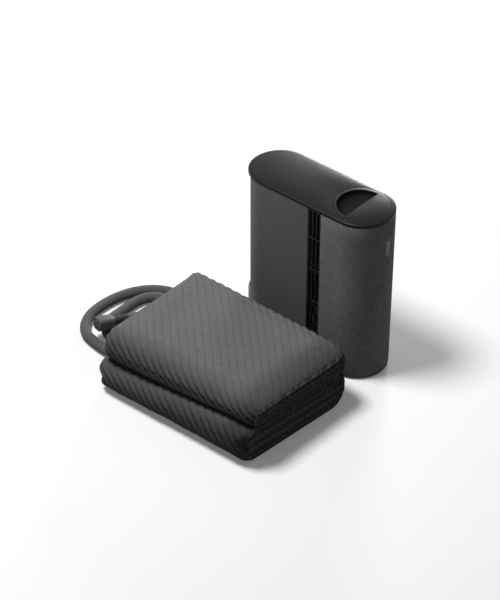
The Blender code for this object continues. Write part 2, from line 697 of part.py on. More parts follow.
def make_front(hub, mats):
    skin = HUB_RADIUS - FABRIC_THICK
    frame_radius = skin - SEAM_GAP
    mesh_object("front_shell", prism(half_band(VENT_FRONT, frame_radius, frame_radius - SHELL_WALL),
                                     BODY_BOTTOM, BODY_TOP), mats["inner_plastic"], hub)
    wrap = mesh_object("fabric_wrap", prism(half_band(VENT_FRONT, HUB_RADIUS, skin), BODY_BOTTOM, BODY_TOP),
                       mats["hub_fabric"], hub)
    near, far = END_CENTRE, HUB_LENGTH / 2 + CUT_OVERRUN
    corner = LIGHT_WIDTH / 2
    hole = rounded_rectangle(LIGHT_WIDTH, LIGHT_TALL, corner - SEAM_GAP, 0.0, LIGHT_HEIGHT, 6)
    cut(wrap, along_x(prism(hole, near, far)))
    pill = rounded_rectangle(LIGHT_WIDTH - 2 * SEAM_GAP, LIGHT_TALL - 2 * SEAM_GAP,
                             corner - 2 * SEAM_GAP, 0.0, LIGHT_HEIGHT, 6)
    lens = mesh_object("status_light", along_x(prism(pill, near, far)), mats["light_lens"], hub)
    keep(lens, turned([(skin, BODY_BOTTOM), (HUB_RADIUS + LIGHT_PROUD, BODY_BOTTOM),
                       (HUB_RADIUS + LIGHT_PROUD, BODY_TOP), (skin, BODY_TOP)], END_CENTRE, 0.0, 64))


def make_grille(hub, mats, name, side):
    """Plate with three slots in rows. Its edges pass behind the shells, so the slots fill the vent."""
    outer = HUB_RADIUS - GRILLE_RECESS
    inner = HUB_RADIUS - SHELL_WALL - FABRIC_THICK - 2 * SEAM_GAP
    low, high = BODY_BOTTOM, BODY_TOP
    front = VENT_FRONT - SEAM_GAP
    rear = VENT_REAR + SEAM_GAP
    outline = [(rear, inner), (front, inner), (front, outer), (rear, outer)]
    plate = mesh_object(name, mirrored(prism(outline, low, high), side), mats["vent_plastic"], hub)
    slot = (front - rear - (GRILLE_SLOTS + 1) * MULLION) / GRILLE_SLOTS
    rows = [high - MULLION]
    row_top = CAP_SEAM - GRILLE_FIRST_ROW
    while row_top > low + GRILLE_ROW_PITCH / 4:
        rows += [row_top + CROSS_BAR / 2, row_top - CROSS_BAR / 2]
        row_top -= GRILLE_ROW_PITCH
    rows.append(low + MULLION)
    slots = []
    for column in range(GRILLE_SLOTS):
        start = rear + MULLION + column * (slot + MULLION)
        for top, bottom in zip(rows[0::2], rows[1::2]):
            slots.append(mirrored(box(start, start + slot, inner - CUT_OVERRUN, outer + CUT_OVERRUN,
                                      bottom, top), side))
    cut(plate, together(*slots))


def mirrored(shape, side):
    """Mirrors a shape in the hub's middle plane when side is -1, and keeps its faces turned out."""
    if side > 0:
        return shape
    corners, faces = shape
    return [(x, -y, z) for x, y, z in corners], [tuple(reversed(face)) for face in faces]


def make_cap(hub, mats):
    rounding = [(0.0, CAP_SEAM)]
    rounding += [(CAP_ROUND_WIDTH * share, HUB_HEIGHT - CAP_ROUND * drop) for share, drop in CAP_ROUND_STEPS]
    cap = mesh_object("top_cap", loft([[(x, y, z) for x, y in stadium(inset)] for inset, z in rounding]),
                      mats["hub_plastic"], hub)
    hollow_front = END_CENTRE - LID_RADIUS - CAP_HOLLOW_MARGIN
    half = HUB_RADIUS - SHELL_WALL - CAP_HOLLOW_MARGIN
    cut(cap, box(LIP_BACK, hollow_front, -half, half, CAP_SEAM - CUT_OVERRUN, HUB_HEIGHT - CAP_TOP))
    cut(cap, cylinder(LID_RADIUS + LID_GAP, CAP_SEAM - CUT_OVERRUN, HUB_HEIGHT + CUT_OVERRUN,
                      END_CENTRE, 0.0, LID_SIDES))


def fan_slots(height):
    slots = []
    for row in range(EXHAUST_SLOTS):
        rise = (row - (EXHAUST_SLOTS - 1) / 2) * EXHAUST_PITCH
        half = math.sqrt(EXHAUST_RADIUS ** 2 - rise ** 2)
        slots.append(box(PANEL_FACE - CUT_OVERRUN, PANEL_BACK + CUT_OVERRUN, -half, half,
                         height + rise - EXHAUST_SLOT_HEIGHT / 2, height + rise + EXHAUST_SLOT_HEIGHT / 2))
    return slots


def make_rear_panel(hub, mats):
    face, back = ends_at_radius(HUB_RADIUS, PANEL_FACE), ends_at_radius(HUB_RADIUS, PANEL_BACK)
    outline = [(PANEL_FACE, face), (PANEL_FACE, -face), (PANEL_BACK, -back), (PANEL_BACK, back)]
    panel = mesh_object("rear_panel", prism(outline, SHELF_HEIGHT + SEAM_GAP, BODY_TOP),
                        mats["hub_plastic"], hub)
    near, far = PANEL_FACE - CUT_OVERRUN, PANEL_BACK + CUT_OVERRUN
    slots = [slot for height in FAN_HEIGHTS.values() for slot in fan_slots(height)]
    holes = [along_x(cylinder(SCREW_SHANK_RADIUS + SEAM_GAP, near, far, y, z, 12))
             for y, z in screw_places()]
    socket = along_x(prism(rounded_rectangle(SOCKET_WIDTH + 2 * SOCKET_WALL + 2 * SEAM_GAP,
                                             SOCKET_TALL + 2 * SOCKET_WALL + 2 * SEAM_GAP,
                                             CONNECTOR_CORNER + SOCKET_WALL, SOCKET_SIDE, SOCKET_HEIGHT),
                           near, far))
    inlet = box(near, far, INLET_SIDE - INLET_WIDTH / 2 - SEAM_GAP, INLET_SIDE + INLET_WIDTH / 2 + SEAM_GAP,
                SOCKET_HEIGHT - INLET_TALL / 2 - SEAM_GAP, SOCKET_HEIGHT + INLET_TALL / 2 + SEAM_GAP)
    button = along_x(cylinder(BUTTON_RADIUS + SEAM_GAP, near, far, BUTTON_SIDE, SOCKET_HEIGHT, 20))
    cut(panel, together(*slots, *holes, socket, inlet, button))
    for number, (y, z) in enumerate(screw_places(), 1):
        tip = PANEL_FACE - SEAM_GAP
        profile = [(SCREW_HEAD_RADIUS * SCREW_CROWN_SHARE, tip - SCREW_HEAD_HEIGHT),
                   (SCREW_HEAD_RADIUS, tip - SCREW_HEAD_HEIGHT * SCREW_SIDE_SHARE),
                   (SCREW_HEAD_RADIUS, tip), (SCREW_SHANK_RADIUS, tip),
                   (SCREW_SHANK_RADIUS, tip - SCREW_HEAD_HEIGHT + SCREW_LENGTH)]
        screw = mesh_object(f"panel_screw_{number}", along_x(spindle(profile, y, z, 12)),
                            mats["steel"], hub)
        cut(screw, box(tip - SCREW_HEAD_HEIGHT - CUT_OVERRUN, tip - SCREW_HEAD_HEIGHT + SCREW_SLOT_DEPTH,
                       y - SCREW_HEAD_RADIUS, y + SCREW_HEAD_RADIUS,
                       z - SCREW_SLOT_WIDTH / 2, z + SCREW_SLOT_WIDTH / 2))


def port_places():
    """Ports of the connector, as sideways and upward offsets from its middle."""
    return [(column * PORT_COLUMN_PITCH, row * PORT_ROW_PITCH / 2 + (PORT_STAGGER if column else -PORT_STAGGER))
            for row in (-1, 1) for column in (-1, 0, 1)]


def make_socket(hub, mats):
    outer_width, outer_tall = SOCKET_WIDTH + 2 * SOCKET_WALL, SOCKET_TALL + 2 * SOCKET_WALL
    flange_back = PANEL_FACE - SEAM_GAP
    flange = along_x(prism(rounded_rectangle(outer_width + 2 * SOCKET_FLANGE, outer_tall + 2 * SOCKET_FLANGE,
                                             CONNECTOR_CORNER + SOCKET_WALL + SOCKET_FLANGE,
                                             SOCKET_SIDE, SOCKET_HEIGHT),
                           flange_back - SOCKET_FLANGE_THICK, flange_back))
    socket = mesh_object("hose_socket", flange, mats["base_plastic"], hub)
    add(socket, along_x(prism(rounded_rectangle(outer_width, outer_tall, CONNECTOR_CORNER + SOCKET_WALL,
                                                SOCKET_SIDE, SOCKET_HEIGHT),
                              flange_back - SOCKET_FLANGE_THICK / 2, SOCKET_BACK)))
    cut(socket, along_x(prism(rounded_rectangle(SOCKET_WIDTH, SOCKET_TALL, CONNECTOR_CORNER,
                                                SOCKET_SIDE, SOCKET_HEIGHT),
                              flange_back - SOCKET_FLANGE_THICK - CUT_OVERRUN, PANEL_FACE + SOCKET_DEPTH)))
    root = PANEL_FACE + SOCKET_DEPTH
    nozzles = [along_x(cylinder(PORT_RADIUS - SOCKET_NOZZLE_GAP, root - SOCKET_NOZZLE_LENGTH,
                                root + SOCKET_WALL / 2, SOCKET_SIDE + side, SOCKET_HEIGHT + rise, 10))
               for side, rise in port_places()]
    spigots = [along_x(cylinder(SPIGOT_RADIUS, SOCKET_BACK - SOCKET_WALL / 2, SOCKET_BACK + SPIGOT_LENGTH,
                                y, z, 12)) for y, z in socket_spigots()]
    add(socket, together(*nozzles, *spigots))

    collar_face = PANEL_BACK + SEAM_GAP
    profile = [(BUTTON_RADIUS, PANEL_FACE - BUTTON_PROUD), (BUTTON_RADIUS, collar_face),
               (BUTTON_RADIUS + BUTTON_COLLAR, collar_face),
               (BUTTON_RADIUS + BUTTON_COLLAR, collar_face + BUTTON_COLLAR_THICK),
               (BUTTON_RADIUS, collar_face + BUTTON_COLLAR_THICK),
               (BUTTON_RADIUS, PANEL_FACE - BUTTON_PROUD + BUTTON_BODY)]
    mesh_object("release_button", along_x(spindle(profile, BUTTON_SIDE, SOCKET_HEIGHT, 20)),
                mats["base_plastic"], hub, (PANEL_FACE - BUTTON_PROUD, BUTTON_SIDE, SOCKET_HEIGHT))

    inlet_flange = box(flange_back - SOCKET_FLANGE_THICK, flange_back,
                       INLET_SIDE - INLET_WIDTH / 2 - SOCKET_FLANGE, INLET_SIDE + INLET_WIDTH / 2 + SOCKET_FLANGE,
                       SOCKET_HEIGHT - INLET_TALL / 2 - SOCKET_FLANGE,
                       SOCKET_HEIGHT + INLET_TALL / 2 + SOCKET_FLANGE)
    inlet = mesh_object("mains_inlet", inlet_flange, mats["base_plastic"], hub)
    half_width, half_tall = INLET_WIDTH / 2, INLET_TALL / 2
    add(inlet, box(flange_back - SOCKET_FLANGE_THICK / 2, PANEL_FACE + INLET_DEPTH + INLET_WALL,
                   INLET_SIDE - half_width, INLET_SIDE + half_width,
                   SOCKET_HEIGHT - half_tall, SOCKET_HEIGHT + half_tall))
    cut(inlet, box(flange_back - SOCKET_FLANGE_THICK - CUT_OVERRUN, PANEL_FACE + INLET_DEPTH,
                   INLET_SIDE - half_width + INLET_WALL, INLET_SIDE + half_width - INLET_WALL,
                   SOCKET_HEIGHT - half_tall + INLET_WALL, SOCKET_HEIGHT + half_tall - INLET_WALL))
    blades = [box(PANEL_FACE + INLET_DEPTH - INLET_BLADE_LENGTH, PANEL_FACE + INLET_DEPTH + INLET_WALL / 2,
                  INLET_SIDE + step * INLET_BLADE_PITCH - INLET_BLADE_WIDTH / 2,
                  INLET_SIDE + step * INLET_BLADE_PITCH + INLET_BLADE_WIDTH / 2,
                  SOCKET_HEIGHT - INLET_BLADE_TALL / 2, SOCKET_HEIGHT + INLET_BLADE_TALL / 2)
              for step in (-1, 0, 1)]
    add(inlet, together(*blades))


def socket_spigots():
    """Two water spigots on the back of the hose socket, as y and z."""
    return [(SOCKET_SIDE + side * SOCKET_SPIGOT_SIDE, SOCKET_HEIGHT) for side in (-1, 1)]


def make_fan(hub, mats, level, height):
    half = FAN_SIZE / 2
    frame = mesh_object(f"fan_frame_{level}",
                        along_x(prism(rounded_rectangle(FAN_SIZE, FAN_SIZE, SHAFT_RADIUS, 0.0, height, 3),
                                      FAN_FACE, FAN_BACK)), mats["base_plastic"], hub)
    cut(frame, along_x(cylinder(FAN_BORE_RADIUS, FAN_FACE - CUT_OVERRUN, FAN_BACK + CUT_OVERRUN,
                                0.0, height, 28)))
    strut_face = FAN_BACK - FAN_STRUT_THICK
    arms = []
    reach = FAN_BORE_RADIUS + (half - FAN_BORE_RADIUS) / 2
    for across, upright in ((reach, FAN_STRUT_WIDTH / 2), (FAN_STRUT_WIDTH / 2, reach)):
        arms.append(box(strut_face, FAN_BACK, -across, across, height - upright, height + upright))
    add(frame, arms[0])
    add(frame, arms[1])
    boss = [(FAN_HUB_RADIUS, FAN_BACK), (FAN_HUB_RADIUS, strut_face), (SHAFT_RADIUS, strut_face),
            (SHAFT_RADIUS, strut_face - SHAFT_LENGTH)]
    add(frame, along_x(spindle(list(reversed(boss)), 0.0, height, 20)))

    rotor_back = strut_face - SLIDE_GAP
    rotor_face = rotor_back - FAN_HUB_LENGTH
    at = ((rotor_face + rotor_back) / 2, 0.0, height)
    axle = empty(f"fan_axle_{level}", at, hub)
    rotor = mesh_object(f"fan_rotor_{level}",
                        along_x(cylinder(FAN_HUB_RADIUS, -FAN_HUB_LENGTH / 2, FAN_HUB_LENGTH / 2, count=21)),
                        mats["base_plastic"], axle)
    blades = []
    root, tip = FAN_HUB_RADIUS * FAN_BLADE_ROOT_SHARE, FAN_BORE_RADIUS - FAN_TIP_GAP
    for number in range(FAN_BLADES):
        corners, faces = box(-FAN_BLADE_THICK / 2, FAN_BLADE_THICK / 2, root, tip,
                             -FAN_BLADE_CHORD / 2, FAN_BLADE_CHORD / 2)
        c, s = math.cos(FAN_BLADE_TILT), math.sin(FAN_BLADE_TILT)
        tilted = [(x * c + z * s, y, -x * s + z * c) for x, y, z in corners]
        blades.append(spun((tilted, faces), 2 * math.pi * number / FAN_BLADES))
    add(rotor, along_x(together(*blades)))
    cut(rotor, along_x(cylinder(SHAFT_RADIUS + SLIDE_GAP, FAN_HUB_LENGTH / 2 - SHAFT_LENGTH - SLIDE_GAP,
                                FAN_HUB_LENGTH / 2 + CUT_OVERRUN, count=12)))


def make_cooler(hub, mats):
    half = SINK_WIDTH / 2
    top = FAN_HEIGHTS["upper"] + FAN_SIZE / 2
    fin_root = SINK_TIP + SINK_FIN_LENGTH
    pitch = (SINK_WIDTH - SINK_FIN_THICK) / (SINK_FINS - 1)
    outline = [(SINK_BACK, -half), (SINK_BACK, half)]
    for fin in range(SINK_FINS - 1, -1, -1):
        low = -half + fin * pitch
        outline += [(fin_root, low + SINK_FIN_THICK), (SINK_TIP, low + SINK_FIN_THICK), (SINK_TIP, low),
                    (fin_root, low)]
    outline = [outline[0], outline[1]] + outline[3:-1]
    mesh_object("heat_sink", prism(outline, FAN_LOW_EDGE, top), mats["aluminium"], hub)
    for level, height in FAN_HEIGHTS.items():
        mesh_object(f"thermoelectric_{level}",
                    box(MODULE_FACE, MODULE_FACE + MODULE_THICK, -MODULE_SIZE / 2, MODULE_SIZE / 2,
                        height - MODULE_SIZE / 2, height + MODULE_SIZE / 2), mats["ceramic"], hub)
    plate = mesh_object("cold_plate", box(PLATE_FACE, PLATE_BACK, -PLATE_WIDTH / 2, PLATE_WIDTH / 2,
                                          FAN_LOW_EDGE, top), mats["aluminium"], hub)
    spigots = [along_x(cylinder(SPIGOT_RADIUS, PLATE_BACK - PLATE_THICK / 2, PLATE_BACK + SPIGOT_LENGTH,
                                side, PORT_HEIGHT, 12))
               for side in (-SUPPLY_PORT_SIDE, -RETURN_PORT_SIDE, RETURN_PORT_SIDE, SUPPLY_PORT_SIDE)]
    add(plate, together(*spigots))


def make_pump(hub, mats, hand, side):
    x, y = END_CENTRE, side * WELL_PORT_SIDE
    low = TRAY_FLOOR + SEAM_GAP
    bore = SPIGOT_BORE
    housing = mesh_object(f"pump_{hand}", cylinder(PUMP_RADIUS, low, PUMP_TOP, x, y, 24),
                          mats["inner_plastic"], hub)
    add(housing, cylinder(SPIGOT_RADIUS, PUMP_TOP - SPIGOT_LENGTH / 2, PUMP_TOP + SPIGOT_LENGTH, x, y, 12))
    outlet_height = PUMP_CHAMBER_LOW + PUMP_CHAMBER_HEIGHT / 2
    add(housing, along_x(cylinder(SPIGOT_RADIUS, x - PUMP_RADIUS - SPIGOT_LENGTH, x - PUMP_CHAMBER_RADIUS
                                  - SHELL_WALL, y, outlet_height, 12)))
    chamber_top = PUMP_CHAMBER_LOW + PUMP_CHAMBER_HEIGHT
    pin_top = chamber_top - IMPELLER_GAP
    chamber = [(PUMP_PIN_RADIUS, PUMP_CHAMBER_LOW), (PUMP_CHAMBER_RADIUS, PUMP_CHAMBER_LOW),
               (PUMP_CHAMBER_RADIUS, chamber_top), (bore, chamber_top), (bore, pin_top),
               (PUMP_PIN_RADIUS, pin_top)]
    cut(housing, turned(chamber, x, y, 16))
    cut(housing, cylinder(bore, pin_top, PUMP_TOP + SPIGOT_LENGTH + CUT_OVERRUN, x, y, 16))
    cut(housing, along_x(cylinder(bore, x - PUMP_RADIUS - SPIGOT_LENGTH - CUT_OVERRUN,
                                  x - PUMP_CHAMBER_RADIUS + IMPELLER_GAP, y, outlet_height, 10)))

    axle = empty(f"pump_axle_{hand}", (x, y, PUMP_CHAMBER_LOW + SLIDE_GAP), hub)
    reach = PUMP_CHAMBER_RADIUS - IMPELLER_GAP
    hole = PUMP_PIN_RADIUS + SLIDE_GAP
    section = [(hole, 0.0), (reach, 0.0), (reach, IMPELLER_DISC), (IMPELLER_BOSS, IMPELLER_DISC),
               (IMPELLER_BOSS, IMPELLER_DISC + IMPELLER_VANE_HEIGHT), (hole, IMPELLER_DISC + IMPELLER_VANE_HEIGHT)]
    rotor = mesh_object(f"impeller_{hand}", turned(section, count=18), mats["base_plastic"], axle)
    vanes = [spun(box(IMPELLER_BOSS - SLIDE_GAP, reach - SLIDE_GAP, -IMPELLER_VANE_THICK / 2,
                      IMPELLER_VANE_THICK / 2, IMPELLER_DISC / 2, IMPELLER_DISC + IMPELLER_VANE_HEIGHT
                      - SLIDE_GAP), 2 * math.pi * number / IMPELLER_VANES)
             for number in range(IMPELLER_VANES)]
    add(rotor, together(*vanes))


def make_electrics(hub, mats):
    low = SUPPLY_LOW
    x0, x1 = SUPPLY_FRONT - SUPPLY_LENGTH, SUPPLY_FRONT
    half = SUPPLY_WIDTH / 2
    supply = mesh_object("power_supply", box(x0, x1, -half, half, low, low + SUPPLY_HEIGHT),
                         mats["aluminium"], hub)
    pitch = SUPPLY_LENGTH / (SUPPLY_SLOTS + 1)
    slots = [box(x0 + (number + 1) * pitch - SUPPLY_SLOT / 2, x0 + (number + 1) * pitch + SUPPLY_SLOT / 2,
                 side * half - SUPPLY_WALL, side * half + SUPPLY_WALL,
                 low + SUPPLY_HEIGHT / 4, low + SUPPLY_HEIGHT * 3 / 4)
             for number in range(SUPPLY_SLOTS) for side in (-1, 1)]
    cut(supply, together(*slots))
    back = HUB_RADIUS - SHELL_WALL - BOARD_STANDOFF - SEAM_GAP
    front = back - BOARD_THICK
    board = mesh_object("control_board", box(BOARD_FRONT - BOARD_LENGTH, BOARD_FRONT, front, back,
                                             BOARD_BOTTOM, BOARD_BOTTOM + BOARD_HEIGHT), mats["board"], hub)
    middle_x, middle_z = BOARD_FRONT - BOARD_LENGTH / 2, BOARD_BOTTOM + BOARD_HEIGHT / 2
    chips = [box(middle_x - BOARD_CHIP / 2, middle_x + BOARD_CHIP / 2, front - BOARD_CHIP_THICK,
                 front + BOARD_THICK / 2, middle_z + step * 2 * BOARD_CHIP - BOARD_CHIP / 2,
                 middle_z + step * 2 * BOARD_CHIP + BOARD_CHIP / 2) for step in (-1, 0, 1)]
    add(board, together(*chips))


def make_well(hub, mats):
    x = END_CENTRE
    outer = WELL_RADIUS + WELL_WALL
    well = mesh_object("tank_well", spindle([(outer, WELL_HEIGHT), (outer, BODY_TOP)], x, 0.0, LID_SIDES),
                       mats["inner_plastic"], hub)
    cut(well, spindle([(WELL_RADIUS, WELL_TOP_FLOOR), (WELL_RADIUS, BODY_TOP + CUT_OVERRUN)], x, 0.0, LID_SIDES))
    pin_top = TANK_TOP_FLOOR - SEAM_GAP - TANK_FLOOR / 2
    add(well, cylinder(WELL_PIN_RADIUS, WELL_HEIGHT + WELL_FLOOR / 2, pin_top, x, 0.0, 16))
    spigots = [cylinder(SPIGOT_RADIUS, WELL_HEIGHT - SPIGOT_LENGTH, WELL_HEIGHT + WELL_FLOOR / 2,
                        x, side * WELL_PORT_SIDE, 12) for side in (-1, 1)]
    add(well, together(*spigots))
    bores = [cylinder(SPIGOT_BORE, WELL_HEIGHT - SPIGOT_LENGTH - CUT_OVERRUN, WELL_TOP_FLOOR + CUT_OVERRUN,
                      x, side * WELL_PORT_SIDE, 12) for side in (-1, 1)]
    cut(well, together(*bores))
    seal_inner = VALVE_HOLE_RADIUS + SEAL_SECTION
    seal_outer = seal_inner + SEAL_SECTION
    groove = WELL_TOP_FLOOR - SEAL_GROOVE
    cut(well, ring(seal_inner - SEAM_GAP, seal_outer + SEAM_GAP, groove, WELL_TOP_FLOOR + CUT_OVERRUN, x, 24))
    mesh_object("well_seal", ring(seal_inner, seal_outer, groove + SEAM_GAP, TANK_BOTTOM - SEAL_GAP, x, 24),
                mats["seal_rubber"], hub)


def bowl(radius, depth, cx, count=24, rings=5):
    """Lower half of a squashed ball under the hub's top, carried a little above it."""
    levels = []
    for ring in range(rings):
        turn = math.pi / 2 * (1 - ring / rings)
        levels.append([(x, y, HUB_HEIGHT - depth * math.sin(turn) * BOWL_FLOOR)
                       for x, y in circle(max(radius * math.cos(turn), radius * BOWL_MIDDLE), count, cx, 0.0)])
    for height in (HUB_HEIGHT, HUB_HEIGHT + CUT_OVERRUN):
        levels.append([(x, y, height) for x, y in circle(radius, count, cx, 0.0)])
    return loft(levels)


def make_tank(hub, mats):
    x = END_CENTRE
    carrier = empty("tank_slide", (x, 0.0, TANK_BOTTOM), hub)
    at = (0.0, 0.0, 0.0)

    def local(shape):
        return moved(shape, -x, 0.0, -TANK_BOTTOM)

    tank = mesh_object("water_tank", local(spindle([(TANK_RADIUS, TANK_BOTTOM), (TANK_RADIUS, TANK_TOP)],
                                                   x, 0.0, LID_SIDES)), mats["tank_plastic"], carrier, at)
    inner = TANK_RADIUS - TANK_WALL
    cut(tank, local(spindle([(inner, TANK_TOP_FLOOR), (inner, TANK_TOP + CUT_OVERRUN)], x, 0.0, LID_SIDES)))
    cut(tank, local(cylinder(VALVE_HOLE_RADIUS, TANK_BOTTOM - CUT_OVERRUN, TANK_TOP_FLOOR + CUT_OVERRUN,
                             x, 0.0, 24)))

    lid = mesh_object("tank_lid", local(spindle([(LID_SKIRT_RADIUS, LID_UNDER - LID_SKIRT),
                                                 (LID_SKIRT_RADIUS, LID_UNDER), (LID_RADIUS, LID_UNDER),
                                                 (LID_RADIUS, HUB_HEIGHT)], x, 0.0, LID_SIDES)),
                      mats["hub_plastic"], carrier, at)
    cut(lid, local(spindle([(LID_SKIRT_RADIUS - LID_WALL, LID_UNDER - LID_SKIRT - CUT_OVERRUN),
                            (LID_SKIRT_RADIUS - LID_WALL, LID_UNDER)], x, 0.0, LID_SIDES)))
    groove = LID_UNDER - SEAL_DROP
    cut(lid, local(turned([(LID_SKIRT_RADIUS - SEAL_SECTION, groove - SEAL_HEIGHT - 2 * SEAM_GAP),
                           (LID_SKIRT_RADIUS + CUT_OVERRUN, groove - SEAL_HEIGHT - 2 * SEAM_GAP),
                           (LID_SKIRT_RADIUS + CUT_OVERRUN, groove), (LID_SKIRT_RADIUS - SEAL_SECTION, groove)],
                          x, 0.0, LID_SIDES)))
    lip = x + SCOOP_UNDERCUT
    shell_bowl = mesh_object("tool_bowl", local(bowl(SCOOP_RADIUS + LID_WALL, SCOOP_DEPTH + LID_WALL, x)),
                             None, carrier)
    shell_bowl.hide_render = True
    shell_bowl.display_type = "WIRE"
    keep(shell_bowl, local(box(x - HUB_RADIUS, lip + LID_WALL, -HUB_RADIUS, HUB_RADIUS,
                               LID_UNDER - SCOOP_DEPTH - LID_WALL, HUB_HEIGHT - LID_PLATE / 2)))
    union = lid.modifiers.new("bowl", "BOOLEAN")
    union.operation, union.solver, union.object = "UNION", "EXACT", shell_bowl
    hollow = mesh_object("tool_hollow", local(bowl(SCOOP_RADIUS, SCOOP_DEPTH, x)), None, carrier)
    hollow.hide_render = True
    hollow.display_type = "WIRE"
    keep(hollow, local(box(x - HUB_RADIUS, lip, -HUB_RADIUS, HUB_RADIUS,
                           LID_UNDER - SCOOP_DEPTH, LID_UNDER)))
    difference = lid.modifiers.new("hollow", "BOOLEAN")
    difference.operation, difference.solver, difference.object = "DIFFERENCE", "EXACT", hollow
    mouth_radius = SCOOP_RADIUS * math.sqrt(1 - (LID_PLATE / SCOOP_DEPTH) ** 2)
    corner = math.asin(SCOOP_CORNER / (mouth_radius - SCOOP_CORNER))
    reach = (mouth_radius - SCOOP_CORNER) * math.cos(corner)
    mouth = (arc(x, 0.0, mouth_radius, math.pi / 2 + corner, 3 * math.pi / 2 - corner, 24)
             + arc(x - SCOOP_CORNER, -reach, SCOOP_CORNER, 3 * math.pi / 2 - corner, 2 * math.pi, 4)
             + arc(x - SCOOP_CORNER, reach, SCOOP_CORNER, 0.0, math.pi / 2 + corner, 4))
    cut(lid, local(prism(mouth, LID_UNDER - SEAM_GAP, HUB_HEIGHT + CUT_OVERRUN)))
    seal_inner = LID_SKIRT_RADIUS - SEAL_SECTION + SEAM_GAP
    mesh_object("lid_seal", local(turned([(seal_inner, groove - SEAL_HEIGHT - SEAM_GAP),
                                          (LID_SKIRT_RADIUS, groove - SEAL_HEIGHT - SEAM_GAP),
                                          (LID_SKIRT_RADIUS, groove - SEAM_GAP),
                                          (seal_inner, groove - SEAM_GAP)], x, 0.0, LID_SIDES)),
                mats["seal_rubber"], carrier, at)

    cage_low = TANK_TOP_FLOOR + SEAM_GAP
    cage = mesh_object("valve_cage", local(spindle([(CAGE_RADIUS, cage_low), (CAGE_RADIUS, cage_low
                       + CAGE_HEIGHT)], x, 0.0, 24)), mats["inner_plastic"], carrier, at)
    cage_roof = cage_low + CAGE_HEIGHT - CAGE_WALL
    cut(cage, local(spindle([(CAGE_RADIUS - CAGE_WALL, cage_low - CUT_OVERRUN),
                             (CAGE_RADIUS - CAGE_WALL, cage_roof)], x, 0.0, 24)))
    cut(cage, local(cylinder(VALVE_STEM_RADIUS + SLIDE_GAP, cage_roof - CAGE_WALL, cage_roof
                             + CAGE_WALL + CUT_OVERRUN, x, 0.0, 16)))
    window = CAGE_WINDOW / 2
    cut(cage, local(box(x - window, x + window, -CAGE_RADIUS - CUT_OVERRUN, CAGE_RADIUS + CUT_OVERRUN,
                        cage_low + CAGE_WALL, cage_roof - CAGE_WALL)))
    disc_low = TANK_TOP_FLOOR + VALVE_TRAVEL
    stem_low = TANK_TOP_FLOOR - TANK_FLOOR / 2
    stem = VALVE_STEM_RADIUS
    disc_top = disc_low + VALVE_DISC_THICK
    mesh_object("valve_plunger", local(spindle([(stem, stem_low), (stem, disc_low), (VALVE_DISC_RADIUS,
                disc_low), (VALVE_DISC_RADIUS, disc_top), (stem, disc_top),
                (stem, disc_top + VALVE_GUIDE_LENGTH)], x, 0.0, 16)), mats["seal_rubber"], carrier, at)
    spring_low, spring_high = disc_top + SEAM_GAP + SPRING_WIRE, cage_roof - SEAM_GAP - SPRING_WIRE
    steps = SPRING_TURNS * 8
    line = [(SPRING_RADIUS * math.cos(2 * math.pi * SPRING_TURNS * i / steps),
             SPRING_RADIUS * math.sin(2 * math.pi * SPRING_TURNS * i / steps),
             spring_low + (spring_high - spring_low) * i / steps - TANK_BOTTOM) for i in range(steps + 1)]
    tube_object("valve_spring", line, SPRING_WIRE, mats["steel"], carrier, 1)


def make_tubes(hub, mats):
    """Water tubes inside the hub, each from one spigot's end to the next."""
    radius = SPIGOT_RADIUS
    outlet = PUMP_CHAMBER_LOW + PUMP_CHAMBER_HEIGHT / 2
    lane = SUPPLY_WIDTH / 2 + 2.5 * radius
    for hand, side in (("right", -1), ("left", 1)):
        y = side * WELL_PORT_SIDE
        drop = [(END_CENTRE, y, WELL_HEIGHT - SPIGOT_LENGTH - SEAM_GAP),
                (END_CENTRE, y, PUMP_TOP + SPIGOT_LENGTH + SEAM_GAP)]
        tube_object(f"feed_tube_{hand}", drop, radius, mats["silicone"], hub)
        start = END_CENTRE - PUMP_RADIUS - SPIGOT_LENGTH - SEAM_GAP
        end = PLATE_BACK + SPIGOT_LENGTH + SEAM_GAP
        bend = 4 * radius
        column = end + 2 * radius + bend
        port = side * SUPPLY_PORT_SIDE
        route = [(start, y, outlet), (start - bend, y, outlet), (SUPPLY_FRONT + bend, side * lane, outlet),
                 (column + 2 * bend, side * lane, outlet), (column + bend * TUBE_CORNER, side * lane, outlet + bend * TUBE_CORNER),
                 (column, side * lane, outlet + bend), (column, port, PORT_HEIGHT - bend),
                 (column - bend * TUBE_CORNER, port, PORT_HEIGHT - bend * TUBE_CORNER),
                 (column - bend, port, PORT_HEIGHT),
                 (end, port, PORT_HEIGHT)]
        tube_object(f"plate_tube_{hand}", piped(route, TUBE_POINT_PITCH), radius, mats["silicone"], hub, 1)
        back_y, back_z = socket_spigots()[0 if side < 0 else 1]
        rear = SOCKET_BACK + SPIGOT_LENGTH + SEAM_GAP
        port = side * RETURN_PORT_SIDE
        under = (FAN_LOW_EDGE + back_z) / 2 - radius
        route = [(end, port, PORT_HEIGHT), (end + 2 * radius, port, PORT_HEIGHT),
                 (end + 2 * radius + bend * TUBE_SAG, port, PORT_HEIGHT - bend * TUBE_SAG),
                 (end + radius, port, under + radius),
                 (end - 2 * bend, (2 * port + back_y) / 3, under - radius),
                 ((end + rear) / 2, (port + back_y) / 2, under - 2 * radius),
                 (rear + bend, back_y, back_z), (rear + radius, back_y, back_z), (rear, back_y, back_z)]
        tube_object(f"socket_tube_{hand}", piped(route, TUBE_POINT_PITCH), radius, mats["silicone"], hub, 1)


